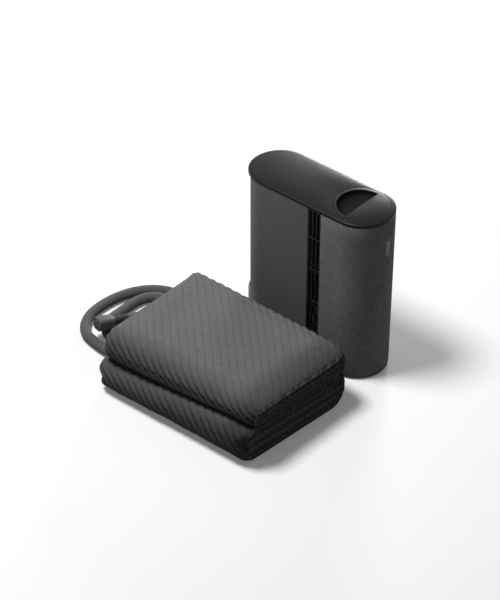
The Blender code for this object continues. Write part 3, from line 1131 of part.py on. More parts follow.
def fold_path(counts):
    """Outer line of the folded cover in the pad's cross section, one row of values a point.

    From the hidden end under the upper leaf to the front, round the upper roll, over the top to the
    spine, round the spine, along the floor to the front, round the lower roll and back between the leaves.
    A row holds y, z, the outward direction, the stretch it is in and how far it is in the upper leaf.
    """
    hidden, roll, top, spine, floor = counts
    r, half = LEAF_RADIUS, PAD_DEPTH / 2
    spine_y = half - SPINE_REACH
    end_y = spine_y - SEAM_GAP
    upper_y, lower_y = -half + UPPER_BACK_OFF + r, -half + r
    upper_z, lower_z = PAD_HEIGHT - r, r
    rows = []

    def straight(y0, y1, z, nz, kind, count, share):
        for i in range(count):
            rows.append((y0 + (y1 - y0) * i / count, z, 0.0, nz, kind, share))

    def turn(y, z, start, kind, share):
        for i in range(roll):
            at = start - math.pi * i / roll
            rows.append((y + r * math.cos(at), z + r * math.sin(at), math.cos(at), math.sin(at), kind, share))

    straight(end_y, upper_y, upper_z - r, -1.0, "hidden", hidden, 1.0)
    turn(upper_y, upper_z, 3 * math.pi / 2, "roll", 1.0)
    straight(upper_y, spine_y, PAD_HEIGHT, 1.0, "top", top, 1.0)
    for i in range(spine):
        at = math.pi / 2 - math.pi * i / spine
        y, z = SPINE_REACH * math.cos(at), PAD_HEIGHT / 2 * math.sin(at)
        ny, nz = y / SPINE_REACH ** 2, z / (PAD_HEIGHT / 2) ** 2
        size = math.hypot(ny, nz)
        rise = 1 - i / spine
        rows.append((spine_y + y, PAD_HEIGHT / 2 + z, ny / size, nz / size, "spine",
                     rise * rise * (3 - 2 * rise)))
    straight(spine_y, lower_y, 0.0, -1.0, "floor", floor, 0.0)
    turn(lower_y, lower_z, 3 * math.pi / 2, "roll", 0.0)
    straight(lower_y, end_y, lower_z + r, 1.0, "hidden", hidden, 0.0)
    rows.append((end_y, lower_z + r, 0.0, 1.0, "hidden", 0.0))
    return rows


def pad_ends(share, inset_left=0.0, inset_right=0.0):
    """Left and right ends of the fold: the upper leaf, where the share is 1, lies a little to the right."""
    return (-PAD_LENGTH / 2 + UPPER_LEFT_OFF * share + inset_left, PAD_LENGTH / 2 - inset_right)


def settled(point):
    """Moves a point of the straight fold to where the soft pad lies.

    Towards the far end and the front, the end lies back along the pad, most in the lower leaf. The spine
    and the hose end keep their places.
    """
    x, y, z = point
    far = min(1.0, max(0.0, (x + PAD_LENGTH / 2 - STILL_REACH) / (PAD_LENGTH - 2 * STILL_REACH)))
    front = min(1.0, max(0.0, (PAD_DEPTH / 2 - SPINE_REACH - y) / (PAD_DEPTH - SPINE_REACH)))
    low = min(1.0, max(0.0, 1 - z / PAD_HEIGHT))
    return x - (FAR_END_PULL + LOWER_END_PULL * low) * far * front, y, z


def folded_cover():
    """Closed folded sheet: a channelled outer skin, round ends and a plain inner skin.

    The outer skin is triangulated in its flat layout, where the sewn channels are straight slanting lines
    with a crest halfway between each two.
    """
    rows = fold_path((HIDDEN_STEPS, ROLL_STEPS, TOP_STEPS, SPINE_STEPS, FLOOR_STEPS))
    last = len(rows) - 1
    line = np.array([row[:2] for row in rows])
    run = np.concatenate([[0.0], np.cumsum(np.linalg.norm(np.diff(line, axis=0), axis=1))])
    left, right = np.array([pad_ends(row[5], EDGE_ROUND, EDGE_ROUND) for row in rows]).T
    step = CHANNEL_PITCH / math.cos(CHANNEL_ANGLE) / 2
    slope = math.tan(CHANNEL_ANGLE)
    place = []

    def put(i, x, depth=0.0):
        place.append((i, x, depth))
        return len(place) - 1

    border = [put(i, left[i]) for i in range(last + 1)]
    border += [put(last, left[last] + (right[last] - left[last]) * share) for share in SIDE_STEPS]
    border += [put(i, right[i]) for i in range(last, -1, -1)]
    border += [put(0, right[0] - (right[0] - left[0]) * share) for share in SIDE_STEPS]
    size = len(border)
    edges = [(k, (k + 1) % size) for k in range(size)]
    lattice = {}
    for i in range(1, last):
        low_spine = rows[i][4] == "spine" and rows[i][1] < PAD_HEIGHT * LOW_SPINE
        if low_spine or rows[i][4] in ("hidden", "floor") or rows[i][3] < -UNDERSIDE_SHARE:
            plain_row = [i, *(put(i, left[i] + (right[i] - left[i]) * share) for share in SIDE_STEPS),
                         2 * last + 4 - i]
            edges += zip(plain_row, plain_row[1:])
            continue
        first = math.ceil((left[i] + step / 3 + slope * run[i]) / step)
        final = math.floor((right[i] - step / 3 + slope * run[i]) / step)
        for number in range(first, final + 1):
            lattice[i, number] = put(i, number * step - slope * run[i], CHANNEL_DEPTH * (number % 2))
            if (i - 1, number) in lattice:
                edges.append((lattice[i - 1, number], lattice[i, number]))
    flat = [(run[i], x) for i, x, _ in place]
    _, _, faces, *_ = delaunay_2d_cdt(flat, edges, [], 1, 1e-6)
    faces = [tuple(face) for face in faces]

    def skin_point(i, x, inward):
        y, z, ny, nz = rows[i][:4]
        return (x, y - ny * inward, z - nz * inward)

    corners = []
    for i, x, depth in place:
        if rows[i][4] == "top":
            across = (x - left[i]) / (right[i] - left[i])
            along = (rows[i][0] + PAD_DEPTH / 2) / (PAD_DEPTH - SPINE_REACH)
            depth -= PAD_CROWN * math.sin(math.pi * across) * math.sin(math.pi * along)
        corners.append(skin_point(i, x, depth))
    rings = [border]
    for inward, outward in ((0.25, 0.85), (0.5, 1.0), (0.75, 0.85), (1.0, 0.0)):
        ring = []
        for k, index in enumerate(border):
            i, x, _ = place[index]
            side = -1 if k <= last else 1 if last + 4 <= k <= 2 * last + 4 else 0
            corners.append(skin_point(i, x + side * EDGE_ROUND * outward, COVER_THICK * inward))
            ring.append(len(corners) - 1)
        rings.append(ring)
    for ring, following in zip(rings, rings[1:]):
        faces += [(ring[k], ring[(k + 1) % size], following[(k + 1) % size], following[k])
                  for k in range(size)]
    inner = rings[-1]
    for i in range(last):
        near, far = inner[i], inner[i + 1]
        far_right, near_right = inner[2 * last + 3 - i], inner[2 * last + 4 - i]
        if i == 0:
            faces.append((near, far, far_right, near_right, *inner[2 * last + 5:]))
        elif i == last - 1:
            faces.append((near, far, *inner[last + 1:last + 4], far_right, near_right))
        else:
            faces.append((near, far, far_right, near_right))
    return corners, faces


def grid_layer():
    """The water grid inside the cover: two layers joined at the spine, with half-round front edges."""
    gap = COVER_THICK + SEAM_GAP
    path = fold_path((1, ROLL_STEPS, 1, SPINE_STEPS, 1))
    upper_tip = 1 + ROLL_STEPS // 2
    lower_tip = 3 + ROLL_STEPS + SPINE_STEPS + ROLL_STEPS // 2
    thick = 2 * (LEAF_RADIUS - gap)
    spine_y, mid_z = PAD_DEPTH / 2 - SPINE_REACH, PAD_HEIGHT / 2
    across = GRID_FOLD_REACH / SPINE_REACH
    up = (mid_z - gap - thick) / mid_z
    rows = []
    for y, z, ny, nz, kind, share in path[upper_tip:lower_tip + 1]:
        outer = (y - ny * gap, z - nz * gap)
        leaf = PAD_HEIGHT - LEAF_RADIUS if share > 0 else LEAF_RADIUS
        inner = (outer[0], 2 * leaf - outer[1])
        if kind == "spine":
            inner = (spine_y + (y - spine_y) * across, mid_z + (z - mid_z) * up)
        rows.append((outer, inner, share))
    corners, faces = [], []
    for outer, inner, share in rows:
        for end in pad_ends(share, GRID_HOSE_INSET, GRID_INSET):
            corners += [(end, *outer), (end, *inner)]
    last = len(rows) - 1
    for i in range(last):
        a, b = 4 * i, 4 * i + 4
        faces += [(a, a + 1, b + 1, b), (a + 3, a + 2, b + 2, b + 3), (a + 2, a, b, b + 2),
                  (a + 1, a + 3, b + 3, b + 1)]
    tips = {1: 0, 3: 2, 4 * last + 1: 4 * last, 4 * last + 3: 4 * last + 2}
    faces = [tuple(dict.fromkeys(tips.get(i, i) for i in face)) for face in faces]
    keep_list = [i for i in range(len(corners)) if i not in tips]
    renumber = {old: new for new, old in enumerate(keep_list)}
    return [corners[i] for i in keep_list], [tuple(renumber[i] for i in face) for face in faces]


def outward(shape):
    """Turns the faces of a closed shape outwards."""
    corners, faces = shape
    mesh = bmesh.new()
    points = [mesh.verts.new(corner) for corner in corners]
    for face in faces:
        mesh.faces.new([points[i] for i in face])
    bmesh.ops.recalc_face_normals(mesh, faces=mesh.faces[:])
    mesh.verts.index_update()
    turned_faces = [tuple(vert.index for vert in face.verts) for face in mesh.faces]
    mesh.free()
    return corners, turned_faces


def make_pad(pad, mats):
    for name, shape, material in (("quilted_cover", folded_cover(), "pad_fabric"),
                                  ("water_grid", grid_layer(), "grid_fabric")):
        corners, faces = shape
        soft = outward(([settled(corner) for corner in corners], faces))
        mesh_object(name, soft, mats[material], pad, sharp=math.radians(60))
    back = -PAD_LENGTH / 2 + GRID_HOSE_INSET - SEAM_GAP
    face = back - MANIFOLD_LENGTH
    middle = -PAD_DEPTH / 2 + MANIFOLD_FROM_FRONT
    tall = 2 * (LEAF_RADIUS - COVER_THICK - SEAM_GAP)
    rings = [(face, MANIFOLD_ROUND), (face + MANIFOLD_ROUND / 3, MANIFOLD_ROUND / 3),
             (face + MANIFOLD_ROUND, 0.0), (back, 0.0)]
    mesh_object("pad_manifold", rounded_block(MANIFOLD_WIDTH, tall, tall / 3, rings, middle, LEAF_RADIUS),
                mats["rubber"], pad)
    return PAD_SHIFT + face, PAD_MIDDLE + middle


def rounded_block(width, tall, corner, rings, cy=0.0, cz=0.0):
    """Block along X with rounded corners. Each ring is its x and how far the outline is drawn in there."""
    return along_x(loft([[(y, z, x) for y, z in rounded_rectangle(width - 2 * inset, tall - 2 * inset,
                                                                  corner - inset * CORNER_SHARE, cy, cz)]
                         for x, inset in rings]))


def make_hose(face, side, mats):
    """Boot, hose, and the connector with its ports, lying where the photo has them."""
    radius = HOSE_DIAMETER / 2
    frame = empty("connector_frame", CONNECTOR_NOSE)
    frame.rotation_euler = (CONNECTOR_ROLL, CONNECTOR_DIP, CONNECTOR_AIM)
    aim = np.array([math.cos(CONNECTOR_AIM) * math.cos(CONNECTOR_DIP),
                    math.sin(CONNECTOR_AIM) * math.cos(CONNECTOR_DIP), -math.sin(CONNECTOR_DIP)])
    tail = np.array(CONNECTOR_NOSE) + aim * (CONNECTOR_LENGTH + CONNECTOR_BOOT + 2 * SEAM_GAP)
    exit_point = np.array([face - SEAM_GAP, side, LEAF_RADIUS])
    away = np.array([-1.0, 0.0, 0.0])
    route = [exit_point, exit_point + away * radius / 4]
    route += [np.array(point) for point in HOSE_ROUTE]
    route += [tail + aim * HOSE_DIAMETER * share for share in (1.0, 0.5, 0.0)]
    line = smooth_line(route, BOOT_LENGTH / BOOT_STEPS)
    report_route(line, radius)

    boot = line[:BOOT_STEPS + 1]
    rings = []
    for k, point in enumerate(boot):
        ahead = line[min(BOOT_STEPS, k + 1)] - line[max(0, k - 1)]
        ahead = away if k == 0 else ahead / np.linalg.norm(ahead)
        across = np.cross(ahead, (0.0, 0.0, 1.0))
        across /= np.linalg.norm(across)
        upright = np.cross(across, ahead)
        size = BOOT_RADIUS + (BOOT_END_RADIUS - BOOT_RADIUS) * k / BOOT_STEPS
        rings.append([tuple(point + across * size * math.cos(turn) + upright * size * math.sin(turn))
                      for turn in np.linspace(0.0, 2 * math.pi, 17)[:-1]])
    mesh_object("hose_boot", outward(loft(rings)), mats["rubber"], None)

    start = boot[-1]
    forward = boot[-1] - boot[-2]
    forward /= np.linalg.norm(forward)
    rest_of_line = line[BOOT_STEPS:]
    length = np.concatenate([[0.0], np.cumsum(np.linalg.norm(np.diff(rest_of_line, axis=0), axis=1))])
    steps = round((length[-1] - 4 * HOSE_DIAMETER) / HOSE_POINT_PITCH)
    at = np.linspace(2 * HOSE_DIAMETER, length[-1] - 2 * HOSE_DIAMETER, steps + 1)
    middle = np.stack([np.interp(at, length, rest_of_line[:, axis]) for axis in range(3)], axis=1)
    points = [start + forward * SEAM_GAP, start + forward * HOSE_DIAMETER, *middle,
              tail + aim * HOSE_DIAMETER, tail]
    hose = tube_object("hose", [tuple(point) for point in points], radius, mats["hose_sleeve"], None)
    hose.data.resolution_u = 1

    nose = CONNECTOR_ROUND
    shell = mesh_object("connector_shell",
                        rounded_block(CONNECTOR_WIDTH, CONNECTOR_TALL, CONNECTOR_CORNER,
                                      [(0.0, nose / 2), (nose / 3, nose / 8), (nose, 0.0),
                                       (CONNECTOR_LENGTH - 2 * nose, 0.0),
                                       (CONNECTOR_LENGTH - nose / 2, nose / 2), (CONNECTOR_LENGTH, nose)]),
                        mats["connector_plastic"], frame)
    inner_width, inner_tall = CONNECTOR_WIDTH - 2 * CONNECTOR_WALL, CONNECTOR_TALL - 2 * CONNECTOR_WALL
    inner_corner = CONNECTOR_CORNER - CONNECTOR_WALL
    cut(shell, along_x(prism(rounded_rectangle(inner_width, inner_tall, inner_corner), -CUT_OVERRUN,
                             BLOCK_RECESS + BLOCK_LENGTH + SEAM_GAP)))
    block = mesh_object("port_block",
                        along_x(prism(rounded_rectangle(inner_width - 2 * SEAM_GAP, inner_tall - 2 * SEAM_GAP,
                                                        inner_corner - SEAM_GAP),
                                      BLOCK_RECESS, BLOCK_RECESS + BLOCK_LENGTH)),
                        mats["base_plastic"], frame)
    cut(block, together(*[along_x(cylinder(PORT_RADIUS, BLOCK_RECESS - CUT_OVERRUN, BLOCK_RECESS + PORT_DEPTH,
                                           y, z, 12)) for y, z in port_places()]))
    begin = CONNECTOR_LENGTH + SEAM_GAP
    rings = []
    for k in range(BOOT_STEPS + 1):
        share = k / BOOT_STEPS
        ease = share * share * (3 - 2 * share)
        width = (CONNECTOR_WIDTH - 3 * nose) * (1 - ease) + 2 * BOOT_END_RADIUS * ease
        tall = (CONNECTOR_TALL - 2 * nose) * (1 - ease) + 2 * BOOT_END_RADIUS * ease
        corner = min(width, tall) / 2 * ROUND_SHARE
        rings.append([(y, z, begin + CONNECTOR_BOOT * share)
                      for y, z in rounded_rectangle(width, tall, corner)])
    mesh_object("connector_boot", along_x(loft(rings)), mats["rubber"], frame)


def piped(points, spacing):
    """Smooth line through the points between the first and the last, which stay straight ends."""
    return [points[0], *[tuple(point) for point in smooth_line(points[1:-1], spacing)], points[-1]]


def report_route(line, radius):
    """Prints the hose's length, its tightest bend and its least gap to itself."""
    step = np.linalg.norm(np.diff(line, axis=0), axis=1)
    length = np.concatenate([[0.0], np.cumsum(step)])
    even = np.linspace(0.0, length[-1], 600)
    points = np.stack([np.interp(even, length, line[:, axis]) for axis in range(3)], axis=1)
    pitch = even[1]
    first = np.gradient(line, length, axis=0)
    second = np.gradient(first, length, axis=0)
    bend = np.linalg.norm(np.cross(first, second), axis=1)
    apart = np.linalg.norm(points[:, None] - points[None], axis=2)
    away = np.abs(np.subtract.outer(even, even)) > 7 * radius
    gap = apart[away].min() - 2 * radius
    print(f"hose {length[-1]:.4f} m, tightest bend {1 / bend[3:-3].max():.4f} m, least gap {gap:.4f} m,"
          f" lowest {points[:, 2].min() - radius:.4f} m, point spacing {pitch:.4f} m")


def main():
    clear_scene()
    mats = make_materials()
    hub = empty("hub_frame", (HUB_SHIFT, HUB_MIDDLE, 0.0))
    pad = empty("pad_frame", (PAD_SHIFT, PAD_MIDDLE, 0.0))
    make_base(hub, mats)
    make_rear_shell(hub, mats)
    make_front(hub, mats)
    make_grille(hub, mats, "vent_grille_right", -1)
    make_grille(hub, mats, "vent_grille_left", 1)
    make_cap(hub, mats)
    make_rear_panel(hub, mats)
    make_socket(hub, mats)
    for level, height in FAN_HEIGHTS.items():
        make_fan(hub, mats, level, height)
    make_cooler(hub, mats)
    for hand, side in (("right", -1), ("left", 1)):
        make_pump(hub, mats, hand, side)
    make_electrics(hub, mats)
    make_well(hub, mats)
    make_tank(hub, mats)
    make_tubes(hub, mats)
    face, side = make_pad(pad, mats)
    make_hose(face, side, mats)


main()
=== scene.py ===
# Water cooling mattress pad: a standing hub, a folded quilted pad and its hose with a flat connector.
# Metres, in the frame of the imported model: +Z up, +Y from the pad to the hub, +X towards the fabric end.
import json
import math

import bpy
import numpy as np
from mathutils import Euler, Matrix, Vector


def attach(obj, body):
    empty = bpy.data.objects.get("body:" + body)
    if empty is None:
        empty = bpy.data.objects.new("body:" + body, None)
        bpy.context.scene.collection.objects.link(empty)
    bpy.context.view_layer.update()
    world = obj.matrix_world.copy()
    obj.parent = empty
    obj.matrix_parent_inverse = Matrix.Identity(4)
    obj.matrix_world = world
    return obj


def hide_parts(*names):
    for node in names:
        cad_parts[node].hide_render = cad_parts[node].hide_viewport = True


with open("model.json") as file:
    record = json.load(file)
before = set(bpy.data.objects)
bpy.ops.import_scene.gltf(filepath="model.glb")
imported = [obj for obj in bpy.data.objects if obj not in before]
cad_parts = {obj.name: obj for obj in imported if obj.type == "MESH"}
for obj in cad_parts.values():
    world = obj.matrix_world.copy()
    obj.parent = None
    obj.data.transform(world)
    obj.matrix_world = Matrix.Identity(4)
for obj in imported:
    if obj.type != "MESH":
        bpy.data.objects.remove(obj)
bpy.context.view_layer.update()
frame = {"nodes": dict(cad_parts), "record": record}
nodes = frame["nodes"]
scene = bpy.context.scene
hubAt = np.array([0.0300, 0.19415, 0.0])      # the hub's middle on the floor
padAt = np.array([-0.0035, -0.0949, 0.0])     # the pad's middle on the floor


# Camera
view = {
    "turn": math.radians(41.0),          # how far the camera stands round from the front, towards +X
    "rise": math.radians(37.5),
    "distance": 4.6,
    "middle": (-0.0571, 0.0554, 0.150),  # what the picture's middle shows
    "pixelsPerMetre": 441.9,
    "pixelsTall": 600,
    "sensor": 36.0,
}


def makeCamera():
    turn, rise = view["turn"], view["rise"]
    forward = Vector((-math.sin(turn) * math.cos(rise), math.cos(turn) * math.cos(rise), -math.sin(rise)))
    camera = bpy.data.cameras.new("camera")
    camera.sensor_fit = "VERTICAL"
    camera.sensor_height = view["sensor"]
    camera.lens = view["sensor"] * view["distance"] * view["pixelsPerMetre"] / view["pixelsTall"]
    camera.clip_end = 50.0
    holder = bpy.data.objects.new("camera", camera)
    holder.location = Vector(view["middle"]) - forward * view["distance"]
    holder.rotation_euler = forward.to_track_quat("-Z", "Y").to_euler()
    scene.collection.objects.link(holder)
    scene.camera = holder
    print("camera at", tuple(round(value, 3) for value in holder.location), "lens", round(camera.lens, 1))


# Meshes
pieceSlots = {}


def fit(piece, body, slot, *replaced):
    # the piece rides on its body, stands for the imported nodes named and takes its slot's finish
    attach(piece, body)
    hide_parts(*replaced)
    pieceSlots[piece.name] = slot
    return piece


def buildMesh(name, points, blocks, layout=None, hard=40.0):
    # blocks are arrays of corner numbers, one for each size of face; layout gives each corner its u and v
    mesh = bpy.data.meshes.new(name)
    points = np.asarray(points, float).reshape(-1, 3)
    blocks = [np.asarray(block) for block in blocks if len(block)]
    corners = np.concatenate([block.ravel() for block in blocks])
    sizes = np.concatenate([np.full(len(block), block.shape[1]) for block in blocks])
    mesh.vertices.add(len(points))
    mesh.vertices.foreach_set("co", points.ravel())
    mesh.loops.add(len(corners))
    mesh.loops.foreach_set("vertex_index", corners.astype(np.int32))
    mesh.polygons.add(len(sizes))
    mesh.polygons.foreach_set("loop_start", np.concatenate([[0], np.cumsum(sizes)[:-1]]).astype(np.int32))
    if layout is not None:
        unwrapped = np.concatenate([np.asarray(part, float).reshape(-1, 2) for part in layout])
        mesh.uv_layers.new(name="layout").data.foreach_set("uv", unwrapped.ravel())
    mesh.update(calc_edges=True)
    mesh.validate()
    mesh.shade_smooth()
    piece = bpy.data.objects.new(name, mesh)
    scene.collection.objects.link(piece)
    if hard is not None:
        mesh.set_sharp_from_angle(angle=math.radians(hard))
    return piece


def netFaces(rows, columns, closeRows=False, closeColumns=False, start=0):
    # quads of a net whose points run along the columns first; also each corner's own row and column,
    # where a closing face counts on past the last one
    i, j = np.meshgrid(np.arange(rows if closeRows else rows - 1),
                       np.arange(columns if closeColumns else columns - 1), indexing="ij")
    i, j = i.ravel(), j.ravel()
    down = np.stack([i, i, i + 1, i + 1], axis=1)
    along = np.stack([j, j + 1, j + 1, j], axis=1)
    return start + (down % rows) * columns + along % columns, down, along


def ringBody(name, rings, layoutAcross=None, layoutDown=None, hard=40.0, closed=False):
    # rings of equal length, stacked into a body: its ends are closed by fans round their middles,
    # or the last ring joins the first
    rings = np.asarray(rings, float)
    count, around = rings.shape[:2]
    faces, down, along = netFaces(count, around, closeRows=closed, closeColumns=True)
    layout = None
    if layoutAcross is not None:
        layout = [np.stack([layoutAcross[along], layoutDown[down]], axis=-1)]
    points = rings.reshape(-1, 3)
    blocks = [faces]
    if not closed:
        middles = np.array([rings[0].mean(axis=0), rings[-1].mean(axis=0)])
        points = np.concatenate([points, middles])
        j = np.arange(around)
        onward = (j + 1) % around
        first = np.stack([np.full(around, count * around), onward, j], axis=1)
        last = np.stack([np.full(around, count * around + 1), (count - 1) * around + j,
                         (count - 1) * around + onward], axis=1)
        blocks += [np.concatenate([first, last])]
        if layout is not None:
            fanAcross = np.stack([layoutAcross[j], layoutAcross[j + 1], layoutAcross[j]], axis=1)
            ends = np.concatenate([np.stack([fanAcross, np.full_like(fanAcross, layoutDown[0])], axis=-1),
                                   np.stack([fanAcross, np.full_like(fanAcross, layoutDown[-1])], axis=-1)])
            layout.append(ends)
    return buildMesh(name, points, blocks, layout, hard)


def alongRows(points):
    # the way covered up to each point of a line, from 0 at its first one
    return np.concatenate([[0.0], np.cumsum(np.linalg.norm(np.diff(points, axis=0), axis=1))])


def smoothed(values, reach):
    # running mean round a closed row of values, with as many neighbours on each side
    width = 2 * reach + 1
    return np.convolve(np.pad(values, reach, mode="wrap"), np.ones(width) / width, mode="valid")


def spreadOut(values, at, count):
    # values known at some rows of a net, spread in straight lines over all of them
    row = np.arange(count)
    low = np.clip(np.searchsorted(at, row, side="right") - 1, 0, len(at) - 2)
    share = ((row - at[low]) / (at[low + 1] - at[low]))[:, None, None]
    return values[low] * (1 - share) + values[low + 1] * share


def ribs(share, count, span, wave):
    # rounded ribs at even steps, between two shares of the way
    return np.maximum(0.0, wave(2 * math.pi * share * count)) ** 2 * (share > span[0]) * (share < span[1])


def smoothLine(given, spacing):
    # natural cubic through the points on their chord lengths, then points at even spacing along it
    given = np.asarray(given, float)
    chord = np.linalg.norm(np.diff(given, axis=0), axis=1)
    at = np.concatenate([[0.0], np.cumsum(chord)])
    count = len(given)
    bend, load = np.zeros((count, count)), np.zeros((count, 3))
    bend[0, 0] = bend[-1, -1] = 1.0
    inner = np.arange(1, count - 1)
    bend[inner, inner - 1], bend[inner, inner + 1] = chord[:-1], chord[1:]
    bend[inner, inner] = 2 * (chord[:-1] + chord[1:])
    slopes = np.diff(given, axis=0) / chord[:, None]
    load[1:-1] = 6 * np.diff(slopes, axis=0)
    curvature = np.linalg.solve(bend, load)
    fine = np.linspace(0.0, at[-1], 40 * count)
    k = np.clip(np.searchsorted(at, fine, side="right") - 1, 0, count - 2)
    ahead, behind, span = (at[k + 1] - fine)[:, None], (fine - at[k])[:, None], chord[k][:, None]
    line = ((curvature[k] * ahead ** 3 + curvature[k + 1] * behind ** 3) / (6 * span)
            + (given[k] / span - curvature[k] * span / 6) * ahead
            + (given[k + 1] / span - curvature[k + 1] * span / 6) * behind)
    return evenLine(line, spacing)


def evenLine(line, spacing):
    length = alongRows(line)
    even = np.linspace(0.0, length[-1], max(2, round(length[-1] / spacing)) + 1)
    return np.stack([np.interp(even, length, line[:, axis]) for axis in range(3)], axis=1)


def lineFrames(line):
    # at each point of a line: its direction, a level direction across it, and the upward one square to both
    ahead = np.gradient(line, axis=0)
    ahead /= np.linalg.norm(ahead, axis=1, keepdims=True)
    across = np.cross(ahead, (0.0, 0.0, 1.0))
    across /= np.linalg.norm(across, axis=1, keepdims=True)
    return ahead, across, np.cross(across, ahead)


# Hose and connector
hose = {
    "thick": 0.025,
    "around": 40,
    "spacing": 0.0035,
    "bootLength": 0.026,
    "bootSteps": 6,
    "bootRadius": (0.0142, 0.0132),
    "bootEnd": (0.0002, 0.0006),     # how far its last two rings are drawn in
    "bootSpacing": 0.0008,
    "bootAround": 48,
    "ribs": 5.0,
    "ribSpan": (0.1, 0.9),
    "ribHeight": 0.0007,
    "strands": 44,
    "braid": 420.0,                  # crossings of the strands, for each metre
    "exit": (-0.21785, -0.16965, 0.041175),
    "seam": 0.0003,
    "route": [
        (-0.2359, -0.1698, 0.0402), (-0.2487, -0.1698, 0.0372), (-0.2600, -0.1699, 0.0325),
        (-0.2713, -0.1702, 0.0264), (-0.2829, -0.1703, 0.0194), (-0.2964, -0.1700, 0.0148),
        (-0.3136, -0.1690, 0.0129), (-0.3419, -0.1653, 0.0128), (-0.3724, -0.1577, 0.0128),
        (-0.3979, -0.1387, 0.0128), (-0.4174, -0.1055, 0.0128), (-0.4244, -0.0643, 0.0128),
        (-0.4214, -0.0219, 0.0128), (-0.4095, 0.0198, 0.0128), (-0.3882, 0.0543, 0.0128),
        (-0.3589, 0.0798, 0.0128), (-0.3241, 0.0923, 0.0128), (-0.2905, 0.0886, 0.0128),
        (-0.2648, 0.0679, 0.0128), (-0.2522, 0.0341, 0.0128), (-0.2504, -0.0058, 0.0128),
        (-0.2527, -0.0439, 0.0128), (-0.2594, -0.0843, 0.0128), (-0.2699, -0.1067, 0.0128),
        (-0.2894, -0.1223, 0.0128), (-0.3146, -0.1279, 0.0128), (-0.3400, -0.1223, 0.0128),
        (-0.3600, -0.1067, 0.0128), (-0.3708, -0.0843, 0.0128), (-0.3735, -0.0509, 0.0128),
        (-0.3745, -0.0158, 0.0128), (-0.3724, 0.0155, 0.0128), (-0.3642, 0.0370, 0.0128),
        (-0.3479, 0.0535, 0.0128), (-0.3255, 0.0605, 0.0133), (-0.3024, 0.0568, 0.0142),
        (-0.2845, 0.0441, 0.0152), (-0.2782, 0.0212, 0.0166), (-0.2826, 0.0017, 0.0186),
        (-0.2951, -0.0141, 0.0214),
    ],
}
connector = {
    "nose": (-0.3527, -0.1450, 0.0467),
    "aim": math.radians(70),
    "dip": math.radians(10),
    "roll": math.radians(-8),
    "length": 0.042,
    "boot": 0.036,
    "width": 0.035,
    "tall": 0.030,
    "corner": 0.010,
    "wall": 0.0025,
    "round": 0.003,
    "edge": 0.0006,
    # rings of the shell's outside: the way from the nose, and how far each is drawn in
    "outside": ((0.0, 0.0019), (0.0003, 0.0009), (0.0012, 0.0003), (0.0026, 0.0), (0.0150, 0.0),
                (0.0154, 0.0005), (0.0162, 0.0005), (0.0166, 0.0), (0.036, 0.0), (0.0402, 0.0006),
                (0.0415, 0.0018)),
    "blockRecess": 0.0008,
    "blockLength": 0.024,
    "sleeveRings": 46,
    "grooves": 4.5,
    "grooveSpan": (0.3, 0.9),
    "grooveDepth": 0.0008,
    "sleeveCorner": (0.9, 0.09),     # its corners' share of half its height, and how much that grows
}


def hoseLine():
    aim = np.array([math.cos(connector["aim"]) * math.cos(connector["dip"]),
                    math.sin(connector["aim"]) * math.cos(connector["dip"]), -math.sin(connector["dip"])])
    tail = np.array(connector["nose"]) + aim * (connector["length"] + connector["boot"] + 2 * hose["seam"])
    start = np.array(hose["exit"])
    route = [start, start + np.array([-hose["thick"] / 8, 0.0, 0.0])]
    route += [np.array(point) for point in hose["route"]]
    route += [tail + aim * hose["thick"] * share for share in (1.0, 0.5, 0.0)]
    return smoothLine(route, hose["bootLength"] / hose["bootSteps"])


def sweepTube(name, line, radii, around):
    # a circle carried along a line: its point at angle t stands across the line by cos t and up by sin t
    _, across, upright = lineFrames(line)
    turn = np.linspace(0.0, 2 * math.pi, around, endpoint=False)
    radii = np.broadcast_to(radii, len(line))[:, None, None]
    rings = line[:, None] + radii * (across[:, None] * np.cos(turn)[None, :, None]
                                     + upright[:, None] * np.sin(turn)[None, :, None])
    girth = np.linspace(0.0, 1.0, around + 1) * 2 * math.pi * float(radii.mean())
    return ringBody(name, rings, girth, alongRows(line))


def makeHose():
    # the first stretch of the line is the ribbed boot at the pad, the rest is hose
    line = hoseLine()
    boot = evenLine(line[:hose["bootSteps"] + 1], hose["bootSpacing"])
    rest = evenLine(line[hose["bootSteps"]:], hose["spacing"])
    tube = sweepTube("water_hose", rest, hose["thick"] / 2, hose["around"])
    fit(tube, "set", "hose_sleeve", "hose")
    share = np.linspace(0.0, 1.0, len(boot))
    first, last = hose["bootRadius"]
    radii = first + (last - first) * share
    radii += hose["ribHeight"] * ribs(share, hose["ribs"], hose["ribSpan"], np.cos)
    radii[-2:] -= hose["bootEnd"]
    collar = sweepTube("hose_collar", boot, radii, hose["bootAround"])
    fit(collar, "set", "rubber", "hose_boot")
    length = float(alongRows(rest)[-1])
    print("hose", round(length, 4), "m")
    return tube, rest, length


def roundedRing(width, tall, corner, count=96):
    # outline of a rounded rectangle, with points at equal steps of angle on its corners and even ones between
    corner = min(corner, width / 2 - 1e-5, tall / 2 - 1e-5)
    turn = np.linspace(0.0, math.pi / 2, count // 4)
    quarter = np.stack([np.cos(turn), np.sin(turn)], axis=1) * corner
    quarter += (width / 2 - corner, tall / 2 - corner)
    signs = ((1, 1), (-1, 1), (-1, -1), (1, -1))
    parts = [quarter * sign if k % 2 == 0 else quarter[::-1] * sign for k, sign in enumerate(signs)]
    return np.concatenate(parts)


def inConnector(points):
    turn = Euler((connector["roll"], connector["dip"], connector["aim"])).to_matrix()
    return points @ np.array(turn).T + np.array(connector["nose"])


